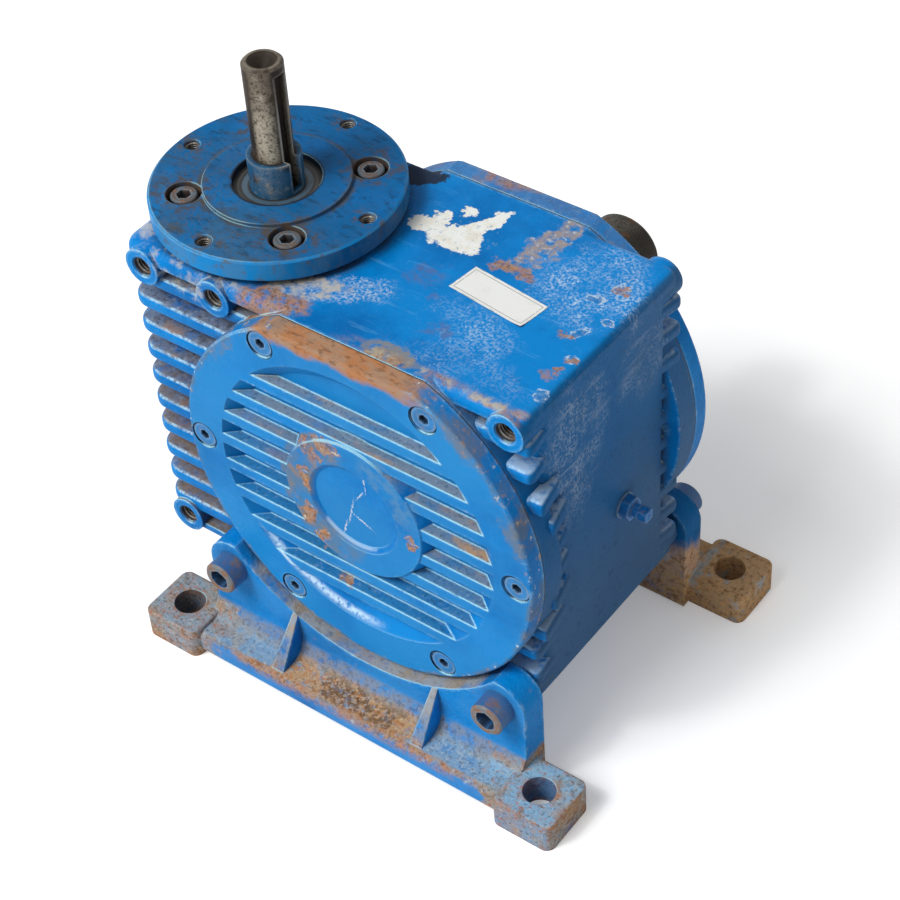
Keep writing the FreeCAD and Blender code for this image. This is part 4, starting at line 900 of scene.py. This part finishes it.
# %% [markdown]
# ## Shafts
# The input shaft is turned steel that was oiled and handled, so it is brown-grey with fine dark pits and a
# blue overspray on its shoulder. The output shaft has stood in the damp and is darker. Only part of the
# reflection is kept, because a stained shaft mirrors far less than a clean one. Each shaft gets a painted
# highlight, as a pale band on one side and pale lines along its sharp edges, and painted shade in its
# corners.

# %% Finish the shafts
def stained_shaft(name, highlight_side, base, bright, dark):
    """Dark turned steel with a painted highlight on one side, brown stains and fine pits."""
    shaft = Finish(name, base, 0.36, shine=0.1)
    # Painted highlight: a pale band on the side that faces the lamps.
    band = shaft.facing(highlight_side, 0.74, 1.0)
    shaft.broken(band, (60, 0.22, 0.66), bright, 0.30, 0.9, stretch=(1, 1, 0.25))
    shaft.lay(shaft.flecks(34, 0.50, 0.70), tone(84, 66, 50), 0.45, 0.55)
    shaft.lay(shaft.flecks(240, 0.50, 0.66), dark, 0.5, 0.6)
    shaft.lay(shaft.flecks(700, 0.50, 0.64), dark, 0.55, 0.7)
    # Painted shade: corners are laid near black.
    shaft.lay(shaft.crevice(0.008), tone(24, 21, 18), 0.7, 0.85)
    # Pale sharp edges: worn steel with a painted highlight.
    shaft.lay(shaft.edge(0.0014), tone(190, 186, 176), 0.3, 0.6)
    shaft.relief(shaft.noise(520), 0.0004, 0.4, rounding=0.0008)
    return shaft


input_steel = stained_shaft("input_shaft_steel", (0.46, -0.89, 0), base=tone(42, 36, 29),
                            bright=tone(192, 182, 162), dark=tone(30, 25, 20))
shoulder = input_steel.ring(worm_axis, "Z", 0.0135, 0.0170)
input_steel.broken(shoulder, (70, 0.30, 0.50), tone(36, 98, 138), 0.4, 0.8)
input_steel.broken(shoulder, (260, 0.54, 0.66), tone(120, 136, 144), 0.4, 0.6)
shaft_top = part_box("worm_shaft")[1].z
# Darker brown towards the top end.
near_top = input_steel.step(input_steel.axis("Z"), shaft_top - 0.040, shaft_top - 0.012)
input_steel.broken(near_top, (90, 0.24, 0.52), tone(62, 50, 41), 0.45, 0.65)
at_top = input_steel.step(input_steel.axis("Z"), shaft_top - 0.002, shaft_top - 0.001)
end_face = input_steel.both(input_steel.facing((0, 0, 1)), at_top)
input_steel.broken(end_face, (120, 0.34, 0.56), tone(128, 120, 106), 0.35, 0.8)
# Painted shade: the centre hole in the end is laid dark.
end_hole = input_steel.both(input_steel.ring(worm_axis, "Z", -1.0, 0.0088, soft=0.0004),
                            input_steel.step(input_steel.axis("Z"), shaft_top - 0.010, shaft_top - 0.008))
input_steel.lay(end_hole, tone(48, 42, 36), 0.6, 0.9)
input_steel.put_on("worm_shaft")
# Painted light: the output shaft's band faces up and is laid a little paler.
output_steel = stained_shaft("output_shaft_steel", (0.0, -0.2, 0.98), base=tone(48, 44, 38),
                             bright=tone(84, 80, 72), dark=tone(30, 26, 22))
output_steel.lay(output_steel.flecks(120, 0.56, 0.66), rust_brown, 0.8, 0.5)
output_steel.put_on("output_shaft", "wheel_key", "front_spacer", "rear_spacer")

# %% [markdown]
# ## Inner pieces, seals and joints
# The gears and bearings are closed in, but they show in a cut-away or when a cover is taken off, so they
# get plain honest finishes: bronze for the rim, ground steel for the bearings, iron for the wheel's centre,
# rubber for the seals and brown fibre for the joints under the covers.

# %% Finish the inner pieces
def plain_finish(name, base, second, metal, roughness, scale, *targets):
    """Even finish with a little mottle and grain."""
    plain = Finish(name, base, roughness, metal=metal)
    plain.lay(plain.flecks(scale, 0.40, 0.65), second, roughness + 0.12, 0.6)
    # Painted shade: the finish is laid darker in corners.
    plain.lay(plain.crevice(0.006), tone(40, 34, 28), 0.7, 0.5)
    plain.relief(plain.noise(scale * 8), 0.0003, 0.3, rounding=0.0005)
    plain.put_on(*targets)


bearing_labels = ("upper_worm", "lower_worm", "front_wheel", "rear_wheel")
bearing_pieces = ("cup", "cone", "rollers", "cage")
bearing_nodes = [f"{label}_bearing_{piece}" for label in bearing_labels for piece in bearing_pieces]
plain_finish("machined_bronze", tone(196, 148, 82), tone(160, 112, 58), 0.9, 0.32, 60, "wheel_rim")
plain_finish("ground_bearing_steel", tone(182, 184, 188), tone(150, 150, 152), 0.9, 0.22, 120,
             *bearing_nodes)
plain_finish("machined_iron", tone(112, 112, 114), tone(88, 86, 84), 0.6, 0.45, 90, "wheel_hub")
seal = Finish("oily_seal_rubber", tone(26, 26, 27), 0.55)
seal.lay(seal.flecks(160, 0.40, 0.65), tone(46, 42, 38), 0.67, 0.6)
seal_lip = seal.ring(worm_axis, "Z", 0.0174, 0.0206, soft=0.0006)
seal.broken(seal_lip, (80, 0.24, 0.50), tone(74, 100, 118), 0.5, 0.75)
seal.lay(seal.ring(worm_axis, "Z", 0.0222, 0.0234, soft=0.0005), tone(84, 84, 82), 0.5, 0.5)
seal.relief(seal.noise(1280), 0.0003, 0.3, rounding=0.0005)
seal.put_on("input_oil_seal", "output_oil_seal")
gaskets = ("front_cover_gasket", "rear_cover_gasket", "input_flange_gasket", "worm_end_cap_gasket")
plain_finish("fibre_gasket", tone(58, 50, 40), tone(36, 34, 32), 0.0, 0.8, 200, *gaskets)

# %% [markdown]
# ## Threads in the open holes
# The solids have plain holes where the real ones are tapped. Eight corner bosses and four holes of the
# flange stand open, and their threads catch the light. A thread is one small triangle swept along a helix,
# so a three-sided circle is stood upright, pulled to the hole's wall and turned by a Screw modifier. Its two
# open ends are then filled. A ridge in the material would look flat in a hole, so it is a real mesh.

# %% Model a thread
def thread_ridge(name, wall, crest, pitch, turns):
    """Helical ridge about Z, from a hole's wall in to its crest, that starts at Z = 0 and runs down."""
    bpy.ops.object.select_all(action="DESELECT")
    bpy.ops.mesh.primitive_circle_add(vertices=3, radius=1.0, rotation=(0, 0, math.radians(90)))
    ridge = bpy.context.active_object
    ridge.name = name
    bpy.ops.object.transform_apply(location=False, rotation=True, scale=False)
    bpy.ops.object.mode_set(mode="EDIT")
    bpy.ops.mesh.select_all(action="SELECT")
    bpy.ops.transform.rotate(value=math.radians(90), orient_axis="X", center_override=(0, 0, 0))
    depth = wall - crest
    breadth = 0.9 * pitch
    bpy.ops.transform.resize(value=(depth / 1.5, 1.0, breadth / math.sqrt(3)), center_override=(0, 0, 0))
    bpy.ops.transform.translate(value=(wall - depth / 3, 0, 0))
    bpy.ops.object.mode_set(mode="OBJECT")
    helix = ridge.modifiers.new("helix", "SCREW")
    helix.axis = "Z"
    helix.angle = 2 * math.pi
    helix.screw_offset = -pitch
    helix.iterations = turns
    helix.steps = 28
    helix.render_steps = 28
    bpy.ops.object.modifier_apply(modifier="helix")
    bpy.ops.object.mode_set(mode="EDIT")
    bpy.ops.mesh.select_all(action="SELECT")
    bpy.ops.mesh.fill_holes(sides=3)
    bpy.ops.mesh.select_all(action="SELECT")
    bpy.ops.mesh.normals_make_consistent(inside=False)
    bpy.ops.object.mode_set(mode="OBJECT")
    bpy.ops.object.shade_smooth_by_angle(angle=math.radians(40))
    return ridge


boss_thread = thread_ridge("boss_thread", 0.0063, 0.0052, 0.0020, 9)
tap_thread = thread_ridge("flange_thread", 0.0044, 0.0036, 0.0015, 6)
print("thread faces", len(boss_thread.data.polygons), len(tap_thread.data.polygons))


# %% [markdown]
# ## Copies of the threads
# Each size is modelled once. A copy with its own mesh is turned to its hole's direction and moved there
# within the mesh, so that the object itself stays at the origin, as the solids do. A thread starts a little
# inside the mouth of its hole.

# %% Copy the threads to their holes
def stood_copy(model, name, place, direction):
    """Copy of a piece with its own mesh, whose Z points along a direction."""
    piece = model.copy()
    piece.data = model.data.copy()
    piece.name = name
    bpy.context.scene.collection.objects.link(piece)
    turn = Vector((0, 0, 1)).rotation_difference(Vector(direction)).to_matrix().to_4x4()
    piece.data.transform(Matrix.Translation(place) @ turn)
    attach(piece, "case")
    return piece


threads = []
boss_mouth = 0.0024
tap_mouth = 0.0018
for side, label in ((-1, "front"), (1, "rear")):
    mouth_y = side * (abs(housing_face) - boss_mouth)
    for number, (x, z) in enumerate(tapped_bosses, 1):
        name = f"{label}_boss_thread_{number}"
        threads.append(stood_copy(boss_thread, name, (x, mouth_y, z), (0, side, 0)))
screw_head_sink = 0.0006
rim_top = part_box("input_flange_screws")[1].z + screw_head_sink
for number in range(4):
    name = f"flange_thread_{number + 1}"
    place = (*about_worm(flange_tap_circle, 90 * number), rim_top - tap_mouth)
    threads.append(stood_copy(tap_thread, name, place, (0, 0, 1)))
for model in (boss_thread, tap_thread):
    bpy.data.objects.remove(model)
thread_steel = Finish("bare_thread_steel", tone(122, 120, 116), 0.36, shine=0.3, metal=0.2)
thread_steel.lay(thread_steel.flecks(240, 0.42, 0.60), tone(84, 66, 52), 0.6, 0.7)
# Painted shade: the valleys of the threads are laid dark.
thread_steel.lay(thread_steel.crevice(0.004), tone(34, 31, 29), 0.7, 0.8)
thread_steel.relief(thread_steel.noise(900), 0.0002, 0.3, rounding=0.0002)
thread_steel.put_on(*threads)

# %% [markdown]
# ## Fin noses beside the front cover
# The fins end in blunt noses on the right side, just behind the joint ring of the front cover. A nose is a
# cube that is sized, drawn in at its rear end and rounded by a bevel, as a casting is. Two lengths are
# modelled, a long one where the ring leaves room and a short one beside its middle, and both are copied.

# %% Model the fin noses and copy them
def fin_nose(front, back, reach, thick=0.0110, sunk=0.003):
    """Blunt nose at Z = 0 on the right side, between two places along Y, with its root sunk in the wall."""
    centre = (front + back) / 2
    bpy.ops.object.select_all(action="DESELECT")
    bpy.ops.mesh.primitive_cube_add(size=1.0)
    model = bpy.context.active_object
    bpy.ops.object.mode_set(mode="EDIT")
    bpy.ops.mesh.select_all(action="SELECT")
    bpy.ops.transform.resize(value=(reach + sunk, back - front, thick), center_override=(0, 0, 0))
    bpy.ops.transform.translate(value=(right_side + (reach - sunk) / 2, centre, 0))
    bpy.ops.mesh.select_all(action="DESELECT")
    bpy.ops.object.mode_set(mode="OBJECT")
    for vertex in model.data.vertices:
        vertex.select = vertex.co.x > right_side and vertex.co.y > centre
    bpy.ops.object.mode_set(mode="EDIT")
    bpy.ops.transform.translate(value=(-0.55 * reach, 0, 0))
    bpy.ops.object.mode_set(mode="OBJECT")
    rounding = model.modifiers.new("rounding", "BEVEL")
    rounding.width = 0.0036
    rounding.segments = 5
    bpy.ops.object.modifier_apply(modifier="rounding")
    bpy.ops.object.shade_smooth_by_angle(angle=math.radians(40))
    return model


long_nose = fin_nose(-0.0740, -0.0470, 0.0090)
short_nose = fin_nose(-0.0660, -0.0430, 0.0105)
fin_noses = []
nose_rows = ((long_nose, 0.050), (short_nose, 0.030), (short_nose, 0.010),
             (short_nose, -0.010), (short_nose, -0.030), (long_nose, -0.050))
for number, (model, height) in enumerate(nose_rows, 1):
    piece = model.copy()
    piece.data = model.data.copy()
    piece.name = f"fin_nose_{number}"
    bpy.context.scene.collection.objects.link(piece)
    piece.data.transform(Matrix.Translation((0, 0, axle.z + height)))
    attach(piece, "case")
    fin_noses.append(piece)
for model in (long_nose, short_nose):
    bpy.data.objects.remove(model)
housing.put_on(*fin_noses)

# %% [markdown]
# ## A blank sticker
# A white sticker lies askew on the deck, with a thin line round its edge and nothing inside it. It starts as
# a grid that is stretched to the sticker's size, so that one corner can lift a little, and Solidify gives it
# the thickness of film.

# %% Model the sticker
sticker_place = Vector((0.0418, 0.0000, deck_height + 0.00008))
sticker_turn = math.radians(-7.6)
half_wide, half_deep = 0.0268, 0.0110
corner_lift, corner_reach = 0.0010, 0.009
bpy.ops.object.select_all(action="DESELECT")
bpy.ops.mesh.primitive_grid_add(x_subdivisions=24, y_subdivisions=10, size=2.0)
sticker = bpy.context.active_object
sticker.name = "blank_sticker"
bpy.ops.object.mode_set(mode="EDIT")
bpy.ops.mesh.select_all(action="SELECT")
bpy.ops.transform.resize(value=(half_wide, half_deep, 1), center_override=(0, 0, 0))
bpy.ops.object.mode_set(mode="OBJECT")
for vertex in sticker.data.vertices:
    near = (Vector((half_wide, -half_deep)) - vertex.co.xy).length
    vertex.co.z = corner_lift * max(0.0, 1 - near / corner_reach) ** 2
sticker.data.transform(Matrix.Translation(sticker_place) @ Matrix.Rotation(sticker_turn, 4, "Z"))
film = sticker.modifiers.new("film", "SOLIDIFY")
film.thickness = 0.0002
film.offset = 1.0
bpy.ops.object.modifier_apply(modifier="film")
bpy.ops.object.shade_smooth_by_angle(angle=math.radians(40))
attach(sticker, "case")
print("sticker faces", len(sticker.data.polygons))

# %% [markdown]
# ## The sticker's finish
# The vinyl has yellowed unevenly, and dirt creeps in from its edges. The place is first turned into the
# sticker's own directions. Absolute values then fold its four quarters into one, so that one comparison gives
# the distance from the nearest edge, and a narrow band of that distance is the thin line.

# %% Finish the sticker
vinyl = Finish("white_vinyl", tone(232, 233, 230), 0.4, shine=0.3)
placing = {"Vector": vinyl.place, "Location": sticker_place, "Rotation": (0, 0, sticker_turn)}
own = vinyl.node("ShaderNodeMapping", placing, vector_type="TEXTURE")
quarter = vinyl.node("ShaderNodeVectorMath", {0: own}, operation="ABSOLUTE")
apart = vinyl.node("ShaderNodeVectorMath", {0: quarter, 1: (half_wide, half_deep, 0)}, operation="SUBTRACT")
sides = vinyl.tree.nodes.new("ShaderNodeSeparateXYZ")
vinyl.plug(sides.inputs[0], apart)
inset = vinyl.sum(sides.outputs["X"], sides.outputs["Y"], "MAXIMUM")
line = vinyl.both(vinyl.step(inset, -0.00225, -0.0021), vinyl.step(inset, -0.0016, -0.00175))
vinyl.broken(line, (500, 0.30, 0.44), tone(120, 120, 118), 0.4, 0.8)
vinyl.lay(vinyl.flecks(60, 0.52, 0.70), tone(214, 212, 204), 0.5, 0.6)
vinyl.broken(vinyl.step(inset, -0.0012, 0.0), (200, 0.48, 0.62), tone(150, 146, 138), 0.6, 0.6)
vinyl.relief(vinyl.noise(180), 0.0003, 0.25, rounding=0.0001)
vinyl.put_on(sticker)

# %% [markdown]
# The dressed object has to stay inside the box of its solids.
